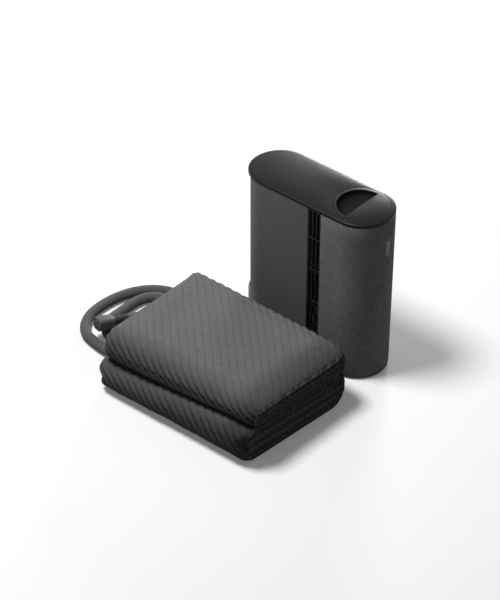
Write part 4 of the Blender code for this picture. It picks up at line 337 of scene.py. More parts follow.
def makeConnector():
    # shell: rings along its own x, from inside its mouth round to the outside and back to the tail
    c = connector
    inside = (c["width"] - 2 * c["wall"], c["tall"] - 2 * c["wall"], c["corner"] - c["wall"])
    outside = (c["width"], c["tall"], c["corner"])
    steps = [(c["blockRecess"] + c["blockLength"], inside, 0.0), (c["edge"], inside, 0.0),
             (0.0, inside, -c["edge"])]
    steps += [(x, outside, inset) for x, inset in (*c["outside"], (c["length"], c["round"]))]
    rings = []
    for x, (width, tall, corner), inset in steps:
        outline = roundedRing(width - 2 * inset, tall - 2 * inset, corner - inset * 0.9)
        rings.append(np.column_stack([np.full(len(outline), x), outline]))
    shell = ringBody("connector_body", inConnector(np.array(rings)), hard=50)
    fit(shell, "set", "connector_plastic", "connector_shell")
    # sleeve: from the shell's own outline to the hose's round one, with grooves
    share = np.linspace(0.0, 1.0, c["sleeveRings"])
    dents = c["grooveDepth"] * ribs(share, c["grooves"], c["grooveSpan"], np.sin)
    end = 2 * hose["bootRadius"][1]
    rings = []
    for at, mix, dent in zip(share, share * share * (3 - 2 * share), dents):
        width = (c["width"] - 3 * c["round"]) * (1 - mix) + end * mix - 2 * dent
        tall = (c["tall"] - 2 * c["round"]) * (1 - mix) + end * mix - 2 * dent
        least, more = c["sleeveCorner"]
        outline = roundedRing(width, tall, min(width, tall) / 2 * (least + more * mix))
        x = c["length"] + hose["seam"] + c["boot"] * at
        rings.append(np.column_stack([np.full(len(outline), x), outline]))
    sleeve = ringBody("connector_sleeve", inConnector(np.array(rings)), hard=50)
    fit(sleeve, "set", "rubber", "connector_boot")
    print("connector and its boot")
    return shell, sleeve


# Pad
pad = {
    "length": 0.4315,
    "depth": 0.3475,
    "height": 0.165,
    "leafGap": 0.0003,
    "spineReach": 0.045,
    "upperBack": 0.0155,     # the upper leaf stops short of the lower one at the front
    "upperLeft": 0.0075,     # and at the hose end
    "endPull": 0.007,        # how far the front of the far end lies back along the pad
    "lowerPull": 0.019,      # and how much more in the lower leaf
    "still": 0.052,          # from each end of the pull's range
    "seamDrop": 0.0025,      # the line between the leaves lies lower at the hose end
    "seamRise": 0.0275,      # and climbs towards the far end
    "slant": 0.010,          # the front's run back from the hose end to the far end
    "upperSlant": 0.005,     # and how much more in the upper leaf
    "crown": 0.005,
    # rounding towards an end, of the top, the fold, the underside, the front and the hidden sides: how far it
    # draws them in, and how far along the pad it reaches
    "edges": {"top": 0.028, "fold": 0.021, "floor": 0.014, "front": 0.022, "hidden": 0.003},
    "reach": {"top": 0.060, "fold": 0.034, "floor": 0.014, "front": 0.034, "hidden": 0.003},
    "hoseEndOut": 0.007,     # how far the soft ends stand past the plain pad
    "farEndOut": 0.010,
    "hoseEndEdge": 0.6,      # the share of both at the hose end
    "meshFrom": 0.003,       # the mesh of the far end starts this far before it
    "endShadePainted": (0.090, 0.010, 0.56),      # painted shade: the skin darkens between these distances from it, to this share
    "frontShadePainted": (0.080, 0.020, 0.66),    # and likewise painted shade along the leaves' fronts
    "cornerFold": 0.012,
    "cornerFront": 0.010,
    "tipFull": 2.7,          # exponent that makes the leaves' fronts fuller where they meet
    "tipRows": 17,
    "leafRows": 84,
    "spineRows": 66,
    "columns": 240,
    "capColumns": 30,
    "pitch": 0.0171,         # from one sewn channel to the next, square to them
    "angle": math.radians(46),
    "puff": 0.0052,
    "pinch": 0.0016,
    "topRelief": 0.17,       # share of the relief that is left where the top lies flat
    "crossPitch": 0.0235,
    "crossPinch": 0.0003,
    "layers": 3,             # layers of cloth in a leaf, seen at its ends
    "cellPitch": 0.0178,
    "cellDepth": 0.0050,
    "ridge": 0.0024,
    "layerPinch": 0.0042,
    "endSink": 0.0035,
    "endShift": 10.0,        # the ends' cloth is laid out this far along, so that a shader can tell it
    "seed": 7,
    "pivot": 0.004,          # reach of the fold's inner bend
    "evenColumns": 0.84,     # how much of the columns' spacing is even: the rest closes up towards the ends
    "cornerTurn": 0.98,
    "restsBelow": 0.004,
    "reliefFrom": 0.006,
    "hills": 0.0007,
    "hillSize": 0.12,
    "puffPower": 0.55,
    "seamWidth": 0.0011,
    "crossWidth": 0.0013,
    "crossWander": 0.004,
    "layerSeam": 0.0021,
    "cellSlant": 0.62,
    "capIn": 0.8,            # share of the ends' rounding that their layers leave out
    "slit": {"back": 0.006, "size": (0.0060, 0.0026), "depth": 0.012},
    "hoseClear": (0.045, 0.024),
    # the movement is capped, and this much of it inward is kept
    "cloth": {"everyRow": 4, "columns": 49, "quality": 6, "mass": 0.3, "pressure": 4.0, "steps": 20,
              "cap": 0.0045, "inward": 0.0004},
}


def padRows():
    # pairs of points from the front of the upper leaf round the spine to the front of the lower one: the
    # outer one, the inner one facing it through the leaf, the way out there and the upper leaf's share
    p = pad
    radius = (p["height"] - p["leafGap"]) / 4
    half, middle = p["depth"] / 2, p["height"] / 2
    spineY = half - p["spineReach"]
    upper = np.array([-half + p["upperBack"] + radius, p["height"] - radius])
    lower = np.array([-half + radius, radius])
    tip = np.linspace(math.pi, math.pi / 2, p["tipRows"])[:-1]
    leaf = np.linspace(0.0, 1.0, p["leafRows"])[:-1]
    spine = np.linspace(math.pi / 2, -math.pi / 2, p["spineRows"])
    turned = np.stack([np.cos(tip), np.sin(tip)], axis=1)
    flipped = turned * (1, -1)
    full = np.sign(turned) * np.abs(turned) ** (2 / p["tipFull"])
    outer = [upper + radius * turned,
             np.column_stack([upper[0] + (spineY - upper[0]) * leaf, np.full(len(leaf), p["height"])]),
             np.column_stack([spineY + p["spineReach"] * np.cos(spine), middle + middle * np.sin(spine)]),
             np.column_stack([spineY + (lower[0] - spineY) * leaf, np.zeros(len(leaf))])[1:],
             lower + radius * flipped[::-1]]
    inner = [upper + radius * full * (1, -1),
             outer[1] * (1, 0) + (0, p["height"] - 2 * radius),
             np.column_stack([spineY + p["pivot"] * np.cos(spine),
                              middle + p["leafGap"] / 2 * np.sin(spine)]),
             outer[3] * (1, 0) + (0, 2 * radius),
             lower + radius * full[::-1]]
    slopes = np.column_stack([np.cos(spine) / p["spineReach"], np.sin(spine) / middle])
    slopes /= np.linalg.norm(slopes, axis=1, keepdims=True)
    out = [turned, np.tile((0.0, 1.0), (len(outer[1]), 1)), slopes,
           np.tile((0.0, -1.0), (len(outer[3]), 1)), flipped[::-1]]
    rise = np.linspace(1.0, 0.0, len(spine))
    share = [np.ones(len(outer[0]) + len(outer[1])), rise * rise * (3 - 2 * rise),
             np.zeros(len(outer[3]) + len(outer[4]))]
    return np.concatenate(outer), np.concatenate(inner), np.concatenate(out), np.concatenate(share), radius


def roundOff(depth, edge, reach):
    # how far a rounded edge draws the skin in at a given distance from the end: a quarter of an ellipse
    share = np.clip(1 - depth / reach, 0.0, 1.0)
    return edge * (1 - np.sqrt(1 - share * share))


def loopOf(shown, hidden):
    # rows of the skin all the way round: out along the outer side, back along the inner one
    return np.concatenate([shown, hidden[-2:0:-1]])


def rowEdges(e, counts):
    # an edge size for each row of the skin: front, top, fold, underside and front again, then what is hidden
    tip, top, spine, under, count = counts
    tips = np.linspace(0.0, 1.0, tip)
    shown = np.concatenate([e["front"] + (e["top"] - e["front"]) * tips, np.full(top, e["top"]),
                            np.full(spine, e["fold"]), np.full(under, e["floor"]),
                            e["floor"] + (e["front"] - e["floor"]) * tips])
    hidden = np.full(count, e["hidden"])
    hidden[:tip] = e["front"] + (e["hidden"] - e["front"]) * tips
    hidden[count - tip:] = hidden[:tip][::-1]
    return smoothed(loopOf(shown, hidden), 4), hidden


def channelPlace(x, run, sine):
    # where a point of the skin lies: how many channels along, and how far across them; also for a shader's
    # values, with the sine that belongs to them
    p = pad
    along = x * math.cos(p["angle"]) + run * math.sin(p["angle"])
    across = run * math.cos(p["angle"]) - x * math.sin(p["angle"])
    wander = sine(across * 55.0 + sine(along * 9.0) * 2.0) * 0.0006 + sine(across * 21.0 + 1.3) * 0.0005
    return (along + wander) / p["pitch"], across


def seamLine(place, pitch, width):
    # 1 in a sewn line and 0 away from it: exp of minus the square of its distance over its width
    return np.exp(-(np.sin(math.pi * place) * pitch / math.pi / width) ** 2)


def quiltRelief(x, run, lift):
    # puffed bands between slanting seams, with faint seams across them; lift fades it where the cloth is flat
    p = pad
    place, across = channelPlace(x, run, np.sin)
    puffed = np.abs(np.sin(math.pi * place)) ** p["puffPower"]
    crossPlace = (across + p["crossWander"] * np.sin(np.floor(place) * 2.4)) / p["crossPitch"]
    relief = (p["puff"] * puffed - p["pinch"] * seamLine(place, p["pitch"], p["seamWidth"])
              - p["crossPinch"] * seamLine(crossPlace, p["crossPitch"], p["crossWidth"]) * puffed)
    return (relief - p["puff"]) * lift


def softNoise(x, y, seed, scale, count=18):
    # a sum of waves in seeded directions: slow hills with no repeat over the pad
    rng = np.random.default_rng(seed)
    turn, phase = rng.uniform(0, 2 * math.pi, count), rng.uniform(0, 2 * math.pi, count)
    size = rng.uniform(0.5, 1.6, count) * 2 * math.pi / scale
    total = np.zeros_like(x)
    for k in range(count):
        total = total + np.sin((x * math.cos(turn[k]) + y * math.sin(turn[k])) * size[k] + phase[k])
    return total / math.sqrt(count)


def endRelief(rowPlace, depth, thickness, edgeGap, seed):
    # ends of the layers: each one a row of slanting cells between ridges, pinched where two layers meet
    p = pad
    band = thickness / p["layers"]
    inMiddle = edgeGap > band
    across = np.where(inMiddle, (depth - band) / band, np.minimum(edgeGap, band) / band)
    number = np.where(inMiddle, 1.0, np.where(depth > thickness / 2, 2.0, 0.0))
    pinch = np.exp(-((edgeGap - band) / p["layerSeam"]) ** 2)
    slant = p["cellSlant"] * np.where(number == 2, 1 - across, across)
    jitter = 0.12 * softNoise(rowPlace, number * 0.05, seed, 0.06)
    cell = rowPlace / p["cellPitch"] + slant + number * 0.37 + jitter
    hollow = np.sin(math.pi * np.clip(across, 0, 1)) ** 0.8
    ridge = seamLine(cell, p["cellPitch"], p["ridge"])
    return -p["cellDepth"] * hollow * (1 - ridge) - p["layerPinch"] * pinch


def settled(points):
    # the straight fold as the soft pad lies: towards the far end and the front the end lies back, most in the
    # lower leaf, the line between the leaves climbs and the front slants
    p = pad
    x, y, z = points.T
    far = np.clip((x + p["length"] / 2 - p["still"]) / (p["length"] - 2 * p["still"]), 0, 1)
    front = np.clip((p["depth"] / 2 - p["spineReach"] - y) / (p["depth"] - p["spineReach"]), 0, 1)
    low = np.clip(1 - z / p["height"], 0, 1)
    tent = 1 - np.abs(1 - 2 * low)
    return np.column_stack([x - (p["endPull"] + p["lowerPull"] * low) * far * front,
                            y + (p["slant"] + p["upperSlant"] * (1 - low)) * (far - 0.5) * front,
                            z + (p["seamRise"] * far - p["seamDrop"]) * tent * front])


def clothSwell(plain, free):
    # cloth pass: a coarse copy of the plain skin is blown up, held where it rests, is hidden or is sewn at
    # the ends; its movement, capped, is spread over the fine skin between its rows and columns
    s = pad["cloth"]
    around, columns = plain.shape[:2]
    rows = np.arange(0, around, s["everyRow"])
    picked = np.round(np.linspace(0, columns - 1, s["columns"])).astype(int)
    coarse = plain[rows][:, picked]
    form = buildMesh("clothForm", coarse, netFaces(len(rows), len(picked), closeRows=True)[:1], hard=None)
    still = np.ones(coarse.shape[:2], bool)
    still[:, 1:-1] = ~free[rows][:, None]
    held = form.vertex_groups.new(name="held")
    held.add(np.flatnonzero(still.ravel()).tolist(), 1.0, "REPLACE")
    cloth = form.modifiers.new("cloth", "CLOTH")
    cloth.settings.quality = s["quality"]
    cloth.settings.mass = s["mass"]
    cloth.settings.use_pressure = True
    cloth.settings.uniform_pressure_force = s["pressure"]
    cloth.settings.vertex_group_mass = "held"
    cloth.settings.effector_weights.gravity = 0.0
    cloth.collision_settings.use_collision = False
    for step in range(1, s["steps"] + 1):
        scene.frame_set(step)
    blown = form.evaluated_get(bpy.context.evaluated_depsgraph_get()).data
    moved = np.empty(coarse.size)
    blown.vertices.foreach_get("co", moved)
    moved = moved.reshape(coarse.shape) - coarse
    scene.frame_set(1)
    bpy.data.objects.remove(form)
    size = np.linalg.norm(moved, axis=-1, keepdims=True)
    print("cloth pass: largest movement", round(float(size.max()), 4), "mean", round(float(size.mean()), 4))
    moved *= s["cap"] * np.tanh(size / s["cap"]) / np.maximum(size, 1e-9)
    moved = spreadOut(np.concatenate([moved, moved[:1]]), np.append(rows, around), around)
    return spreadOut(moved.swapaxes(0, 1), picked, columns).swapaxes(0, 1)


def padEnd(form, side, column, start):
    # an end: a net across each pair of rows, between the skin's edge points, with the layers' cells in relief
    p = pad
    slitForm = p["slit"]
    outer, inner, skin, radius, tip = (form[key] for key in ("outer", "inner", "skin", "radius", "tip"))
    outerRun, middleRun = form["outerRun"], form["middleRun"]
    count, around = len(outer), len(skin)
    innerRows = np.concatenate([[0], np.arange(around - 1, count - 1, -1), [count - 1]])
    across = np.linspace(0.0, 1.0, p["capColumns"])
    bodyPart = across[1:-1]
    rimOuter, rimInner = skin[1:count - 1, column][:, None], skin[innerRows[1:-1], column][:, None]
    sheet = rimOuter * (1 - bodyPart)[:, None] + rimInner * bodyPart[:, None]
    place = sheet[..., 1:]
    thickness = np.maximum(np.linalg.norm(outer - inner, axis=1)[1:-1, None], 1e-6)
    drawnIn = p["capIn"] * form["endShare"][column]
    outerIn, innerIn = drawnIn * form["edges"][1:count - 1, None], drawnIn * form["innerEdge"][1:-1, None]
    depth = outerIn + bodyPart * (thickness - outerIn - innerIn)
    edgeGap = np.minimum(depth, thickness - depth)
    row = np.arange(1, count - 1)[:, None]
    centres = [(outer[k] + inner[k]) / 2 for k in (tip, -tip - 1)]
    for centre, inTip in zip(centres, (row < tip, row >= count - tip)):
        edgeGap = np.where(inTip, radius - np.linalg.norm(place - centre, axis=-1), edgeGap)
    inTips = (row < tip) | (row >= count - tip)
    depth = np.where(inTips, np.where(bodyPart > 0.5, 2 * radius - edgeGap, edgeGap), depth)
    between = outerRun[1:-1, None] * 0.5 + middleRun[1:-1, None] * 0.5
    rowPlace = np.where(edgeGap > 2 * radius / p["layers"], middleRun[1:-1, None], between)
    relief = endRelief(rowPlace, depth, np.where(inTips, 2 * radius, thickness), edgeGap, p["seed"] + side)
    fade = np.clip(np.minimum(bodyPart, 1 - bodyPart) * 9, 0, 1)
    # each leaf is folded round a slit near its front; round the hose the end stays plain
    slit = sum(np.exp(-(((place - centre + (slitForm["back"], 0.0)) / slitForm["size"]) ** 2).sum(axis=-1))
               for centre in centres)
    exitAt = np.array([hose["exit"][1] - padAt[1], hose["exit"][2]])
    clear = np.clip((np.linalg.norm((place - exitAt) / p["hoseClear"], axis=-1) - 1) * 2, 0, 1)
    clear = 1.0 if side > 0 else clear
    bulge = p["endSink"] * np.sin(math.pi * bodyPart) ** 0.7
    sheet[..., 0] += side * (relief * fade * clear + bulge - slitForm["depth"] * slit * clear)
    numbers = np.empty((count, p["capColumns"]), int)
    numbers[:, 0] = np.arange(count) * p["columns"] + column
    numbers[:, -1] = innerRows * p["columns"] + column
    numbers[1:-1, 1:-1] = start + np.arange(sheet[..., 0].size).reshape(count - 2, -1)
    numbers[0, 1:-1], numbers[-1, 1:-1] = numbers[0, 0], numbers[-1, 0]
    _, down, along = netFaces(count, p["capColumns"])
    if side < 0:
        down, along = down[:, ::-1], along[:, ::-1]
    quads = numbers[down, along]
    spot = np.stack([p["endShift"] + middleRun[down], across[along] * 2 * radius], axis=-1)
    # at the leaves' fronts two corners of a quad fall together, which leaves a triangle
    distinct = quads != np.roll(quads, 1, axis=1)
    whole, pointed = distinct.all(axis=1), distinct.sum(axis=1) == 3
    kept = distinct[pointed]
    return (sheet.reshape(-1, 3), [quads[whole], quads[pointed][kept].reshape(-1, 3)],
            [spot[whole], spot[pointed][kept].reshape(-1, 3, 2)])


def quiltedPad():
    # skin: a net out along the outer points and back along the inner ones, with the two tips used once
    p = pad
    outer, inner, out, share, radius = padRows()
    count, tip = len(outer), p["tipRows"] - 1
    spineFirst = tip + p["leafRows"] - 1
    spineLast = spineFirst + p["spineRows"]
    # seen from above, the corners at the fold and at the fronts are rounded
    behind = np.clip((outer[:, 0] - p["depth"] / 2 + p["cornerFold"]) / p["cornerFold"], 0, 1)
    ahead = np.clip((p["cornerFront"] - p["depth"] / 2 - outer[:, 0]) / p["cornerFront"], 0, 1)
    drawn = p["cornerFold"] * (1 - np.sqrt(1 - behind ** 2 * p["cornerTurn"]))
    drawn += p["cornerFront"] * (1 - np.sqrt(1 - ahead ** 2 * p["cornerTurn"])) * (1 - share)
    left = -p["length"] / 2 + p["upperLeft"] * share + drawn - p["hoseEndOut"]
    right = p["length"] / 2 - drawn + p["farEndOut"]
    innerOut = -out
    innerOut[:, 0] = np.where(np.abs(out[:, 1]) > 0.999, 0.0, out[:, 0])
    innerOut[:tip], innerOut[count - tip:] = out[:tip] * (1, -1), out[count - tip:] * (1, -1)
    innerOut[spineFirst:spineLast] = (-1.0, 0.0)
    loopYz, loopOut = loopOf(outer, inner), loopOf(out, innerOut)
    loopLeft, loopRight = loopOf(left, left)[:, None], loopOf(right, right)[:, None]
    outerRun, middleRun = alongRows(outer), alongRows((outer + inner) / 2)
    loopRun = np.concatenate([outerRun, outerRun[-1] + alongRows(inner[::-1])[1:-1]])
    around = len(loopYz)
    even = np.linspace(0.0, 1.0, p["columns"])
    spread = (1 - np.cos(math.pi * even)) / 2 * (1 - p["evenColumns"]) + even * p["evenColumns"]
    x = loopLeft + (loopRight - loopLeft) * spread
    run = np.broadcast_to(loopRun[:, None], x.shape)
    fromEnd = np.minimum(x - loopLeft, loopRight - x)
    counts = (tip, spineFirst - tip, p["spineRows"], count - tip - spineLast, count)
    (edges, innerEdge), (reaches, _) = rowEdges(p["edges"], counts), rowEdges(p["reach"], counts)
    endShare = np.where(spread < 0.5, p["hoseEndEdge"], 1.0)
    inset = roundOff(fromEnd, edges[:, None] * endShare, reaches[:, None] * endShare)
    # the relief fades where the skin rests or is hidden, and most of it where the top lies flat
    lift = np.where(loopYz[:, 1] < p["restsBelow"], 0.0, 1.0)
    lift[count + tip // 2:around - tip // 2] = 0.0
    flatTop = np.clip((loopOut[:, 1] - 0.8) / 0.2, 0, 1)
    flatTop[count:] = 0.0
    soften = (smoothed(lift, 4) * (1 - (1 - p["topRelief"]) * smoothed(flatTop, 6)))[:, None]
    relief = quiltRelief(x, run, soften) * np.clip(fromEnd / p["reliefFrom"], 0.25, 1.0)
    # the top's crown is a half sine wave both ways, with slow hills all over the skin
    topShare = (loopYz[:, 0] + p["depth"] / 2) / (p["depth"] - p["spineReach"])
    crown = np.zeros(around)
    crown[tip:spineFirst] = p["crown"] * np.sin(math.pi * np.clip(topShare[tip:spineFirst], 0, 1))
    swell = crown[:, None] * np.sin(math.pi * spread)
    swell += p["hills"] * softNoise(x, run, p["seed"], p["hillSize"]) * soften

    def skinAt(push):
        return np.concatenate([x[..., None], loopYz[:, None] + loopOut[:, None] * push[..., None]], axis=-1)

    # of the cloth pass only the part along the outward direction is used, and hardly any of it inward
    moved = clothSwell(skinAt(swell - inset), lift > 0)
    outward = (moved[..., 1:] * loopOut[:, None]).sum(axis=-1)
    print("outward part: most", round(float(outward.max()), 4), "least", round(float(outward.min()), 4))
    skin = skinAt(swell + relief - inset + np.maximum(outward, -p["cloth"]["inward"]))
    faces, down, along = netFaces(around, p["columns"], closeRows=True)
    runAt = np.append(loopRun, loopRun[-1] + (loopRun[1] - loopRun[0]))
    points, blocks = [skin.reshape(-1, 3)], [faces[:, ::-1]]
    layout = [np.stack([x[down % around, along], runAt[down]], axis=-1)[:, ::-1]]
    form = {"outer": outer, "inner": inner, "skin": skin, "radius": radius, "tip": tip, "edges": edges,
            "innerEdge": innerEdge, "endShare": endShare, "outerRun": outerRun, "middleRun": middleRun}
    for side, column in ((-1, 0), (1, p["columns"] - 1)):
        sheet, endBlocks, endLayout = padEnd(form, side, column, sum(map(len, points)))
        points.append(sheet)
        blocks += endBlocks
        layout += endLayout
    return settled(np.concatenate(points)) + padAt, blocks, layout


def makePad():
    cover = buildMesh("quilted_pad", *quiltedPad(), hard=None)
    fit(cover, "set", "pad_fabric", "quilted_cover", "water_grid")
    print("pad", len(cover.data.polygons), "faces")


# Hub
hub = {
    "centre": 0.1145,        # middle of each round end, from the hub's middle
    "radius": 0.0745,
    "height": 0.430,
    "seam": 0.4195,          # underside of the cap
    "bodyTop": 0.4192,
    "bodyBottom": 0.0108,
    "fabricThick": 0.0012,
    "fabricEdge": 0.0005,
    "ventFront": 0.0603,
    "capRound": 0.0035,
    "capRoundWidth": 0.0075,
    "crown": 0.0052,         # fall of the top from the middle line to the rim
    "crownPower": 3.2,
    "proud": 0.0025,         # how far the middle line stands above the plain cap
    "capRoundSteps": ((0.0, 0.62), (0.02, 0.48), (0.05, 0.38), (0.1, 0.29), (0.18, 0.22), (0.3, 0.145),
                      (0.42, 0.09), (0.58, 0.05), (0.78, 0.015), (1.0, 0.0)),
    "lidGap": 0.0005,
    "lidRadius": 0.0645,
    "lidPlate": 0.004,
    "skirt": 0.022,
    "skirtRadius": 0.0615,
    "wall": 0.0022,
    "scoopRadius": 0.0565,
    "scoopDepth": 0.036,
    "undercut": 0.014,
    "scoopCorner": 0.006,
    "bowlCorner": 0.004,
    "edge": 0.0006,
    "around": 192,
}


def hubOutline(inset=0.0, count=240):
    # stadium drawn in by the inset, from the middle of the fabric end's right side round anticlockwise,
    # with its points at even angles on the ends and even steps along the sides
    h = hub
    radius = h["radius"] - inset
    half = count // 4
    ends = np.linspace(-math.pi / 2, math.pi / 2, half + 1)
    side = np.linspace(1.0, -1.0, count // 2 - half + 1)[1:-1]
    fabricEnd = np.column_stack([h["centre"] + radius * np.cos(ends), radius * np.sin(ends)])
    farEnd = -fabricEnd
    leftSide = np.column_stack([h["centre"] * side, np.full(len(side), radius)])
    return np.concatenate([fabricEnd, leftSide, farEnd, -leftSide])


def crowned(points, low):
    # the top falls from the hub's middle line to its rim as a power of the distance; less and less below the
    # cap, down to the level given
    h = hub
    points = np.array(points, float)
    away = np.hypot(np.maximum(np.abs(points[..., 0]) - h["centre"], 0.0), points[..., 1]) / h["radius"]
    share = np.clip((points[..., 2] - low) / (h["height"] - h["lidPlate"] - low), 0, 1)
    points[..., 2] += (h["proud"] - h["crown"] * away ** h["crownPower"]) * share
    return points


def atHub(points):
    return np.asarray(points, float) + hubAt


def level(outline, z):
    return np.column_stack([outline, np.full(len(outline), z)])


def makeCap():
    # cap: rings up its side and over its rounded edge, across to the lid's opening, down that and back under
    h = hub
    outline = hubOutline()
    rings = [level(hubOutline(0.0012), h["seam"]), level(hubOutline(0.0002), h["seam"] + 0.0002),
             level(outline, h["seam"] + 0.0009)]
    rings += [level(hubOutline(h["capRoundWidth"] * share), h["height"] - h["capRound"] * drop)
              for share, drop in h["capRoundSteps"]]
    toOpening = outline - (h["centre"], 0.0)
    toOpening /= np.linalg.norm(toOpening, axis=1, keepdims=True)
    middle = np.array([h["centre"], 0.0])
    opening = h["lidRadius"] + h["lidGap"]
    bevel = 0.0004
    rings += [level(middle + toOpening * (opening + bevel * (1 - math.sin(turn))),
                    h["height"] - bevel * (1 - math.cos(turn))) for turn in (0.0, 0.5, 1.0, math.pi / 2)]
    rings += [level(middle + toOpening * opening, h["seam"] + 0.0003),
              level(middle + toOpening * (opening + 0.0003), h["seam"])]
    cap = ringBody("hub_cap", atHub(crowned(rings, h["seam"] + 0.0009)), closed=True, hard=50)
    return fit(cap, "set", "hub_plastic", "top_cap")


def cutAngle(radius, chord, corner):
    # angle at which the arc of a cut circle starts
    return math.pi / 2 - math.asin(min(0.999, max(-0.999, (chord - corner) / max(1e-6, radius - corner))))


def cutCircle(radius, chord, corner, count):
    # a circle cut off by a straight line at x = chord, with its two corners rounded; the same number of
    # points on the arc and on the line at every size
    chord = min(chord, radius * 0.999)
    corner = min(corner, radius * 0.3)
    swing = math.asin(min(0.999, max(-0.999, (chord - corner) / max(1e-6, radius - corner))))
    reach = (radius - corner) * math.cos(swing)
    start = math.pi / 2 - swing
    long = np.linspace(start, 2 * math.pi - start, count // 2 + 1)
    bend = np.linspace(2 * math.pi - start, 2 * math.pi, count // 8 + 1)[1:]
    line = np.linspace(-1.0, 1.0, count // 2 - 2 * (count // 8) + 1)[1:]
    arcPart = radius * np.column_stack([np.cos(long), np.sin(long)])
    low = np.array([chord - corner, -reach]) + corner * np.column_stack([np.cos(bend), np.sin(bend)])
    straight = np.column_stack([np.full(len(line), chord), reach * line])
    up = np.linspace(0.0, start, count // 8 + 1)[1:-1]
    high = np.array([chord - corner, reach]) + corner * np.column_stack([np.cos(up), np.sin(up)])
    return np.concatenate([arcPart, low, straight, high])


def makeLid():
    # lid: from the bowl's underside out to the skirt, round the disc, over its top to the mouth of the
    # scoop, under the mouth's plate and down the inside of the bowl
    h = hub
    count = h["around"]
    top = h["height"]
    under = top - h["lidPlate"]
    middle = np.array([h["centre"], 0.0])

    def bowlSize(radius, depth, z):
        return radius * math.sqrt(max(0.0, 1 - ((top - z) / depth) ** 2))

    def bowlRings(radius, depth, chord, levels):
        return [level(middle + cutCircle(bowlSize(radius, depth, z), chord, h["bowlCorner"], count), z)
                for z in levels]

    # the disc's rings share the cut circle's numbering: half of the points on its arc, the rest past its line
    first = cutAngle(h["lidRadius"], 0.0, h["scoopCorner"])
    last = 2 * math.pi - first
    rounds = np.concatenate([np.linspace(first, last, count // 2 + 1),
                             np.linspace(last, 2 * math.pi + first, count - count // 2 + 1)[1:-1]])
    ways = np.column_stack([np.cos(rounds), np.sin(rounds)])

    def disc(radius, z):
        return level(middle + ways * radius, z)

    mouth = bowlSize(h["scoopRadius"], h["scoopDepth"], under)
    deep = np.sin(np.linspace(math.pi / 2 * 0.97, 0.12, 18))
    outerDepth = h["scoopDepth"] + h["wall"]
    innerLevels = top - h["scoopDepth"] * deep
    outerLevels = top - outerDepth * deep
    outerLevels = outerLevels[outerLevels < under - 0.002]
    innerLevels = innerLevels[innerLevels < under - 0.0008]
    edge = h["edge"]
    rings = bowlRings(h["scoopRadius"] + h["wall"], outerDepth, h["undercut"] + h["wall"],
                      [*outerLevels, under - 0.0001])
    skirtIn, skirtEnd = h["skirtRadius"] - h["wall"], under - h["skirt"]
    rings += [disc(skirtIn, under), disc(skirtIn, skirtEnd), disc(h["skirtRadius"], skirtEnd),
              disc(h["skirtRadius"], under), disc(h["lidRadius"] - 0.0002, under),
              disc(h["lidRadius"], under + 0.0002)]
    rings += [disc(h["lidRadius"] - edge * (1 - math.cos(turn)), top - edge * (1 - math.sin(turn)))
              for turn in np.linspace(0.0, math.pi / 2, 5)]
    lip = edge * 1.5
    for turn in np.linspace(0.0, math.pi / 2, 5):
        away = lip * (1 - math.sin(turn))
        rings.append(level(middle + cutCircle(mouth + away, away, h["scoopCorner"], count),
                           top - lip * (1 - math.cos(turn))))
    rings += [level(middle + cutCircle(mouth, 0.0, h["scoopCorner"], count), under + 0.0004),
              level(middle + cutCircle(mouth, 0.0004, h["scoopCorner"], count), under)]
    rings += bowlRings(h["scoopRadius"], h["scoopDepth"], h["undercut"], innerLevels[::-1])
    lid = ringBody("scoop_lid", atHub(crowned(rings, top - h["scoopDepth"])), hard=42)
    return fit(lid, "tank", "hub_plastic", "tank_lid")


def bandBody(name, path, low, high, thick, edge, rows):
    # a wall of even thickness on an open path: rings round its section at each point of the path
    along = np.gradient(path, axis=0)
    along /= np.linalg.norm(along, axis=1, keepdims=True)
    out = np.column_stack([along[:, 1], -along[:, 0]])
    bevel = edge * 0.3
    section = [(-thick, low + edge), (-thick, high - edge), (-thick + edge, high), (-edge, high),
               (-bevel, high - bevel), (0.0, high - edge)]
    section += [(0.0, z) for z in np.linspace(high - edge, low + edge, rows)[1:-1]]
    section += [(0.0, low + edge), (-bevel, low + bevel), (-edge, low), (-thick + edge, low)]
    rings = [[(*(spot + way * push), z) for push, z in section] for spot, way in zip(path, out)]
    return ringBody(name, atHub(np.array(rings)), alongRows(section + section[:1]), alongRows(path), hard=60)


def makeWrap():
    # woven cloth round the fabric end, from one vent to the other, its edges turned in a little; it is laid
    # out round the wall's section, whose long stretch is height, and along the path
    h = hub
    ends = np.linspace(-math.pi / 2, math.pi / 2, 97)
    fabricEnd = np.column_stack([h["centre"] + h["radius"] * np.cos(ends), h["radius"] * np.sin(ends)])
    straight = np.linspace(h["ventFront"], h["centre"], 13)[:-1]
    right = np.column_stack([straight, np.full(len(straight), -h["radius"])])
    path = np.concatenate([right, fabricEnd, right[::-1] * (1, -1)])
    wrap = bandBody("cloth_wrap", path, h["bodyBottom"], h["bodyTop"], h["fabricThick"], h["fabricEdge"], 12)
    return fit(wrap, "set", "hub_fabric", "fabric_wrap")


def makeHub():
    pieces = {"cap": makeCap(), "lid": makeLid(), "wrap": makeWrap()}
    print("hub", ", ".join(pieces))
    return pieces


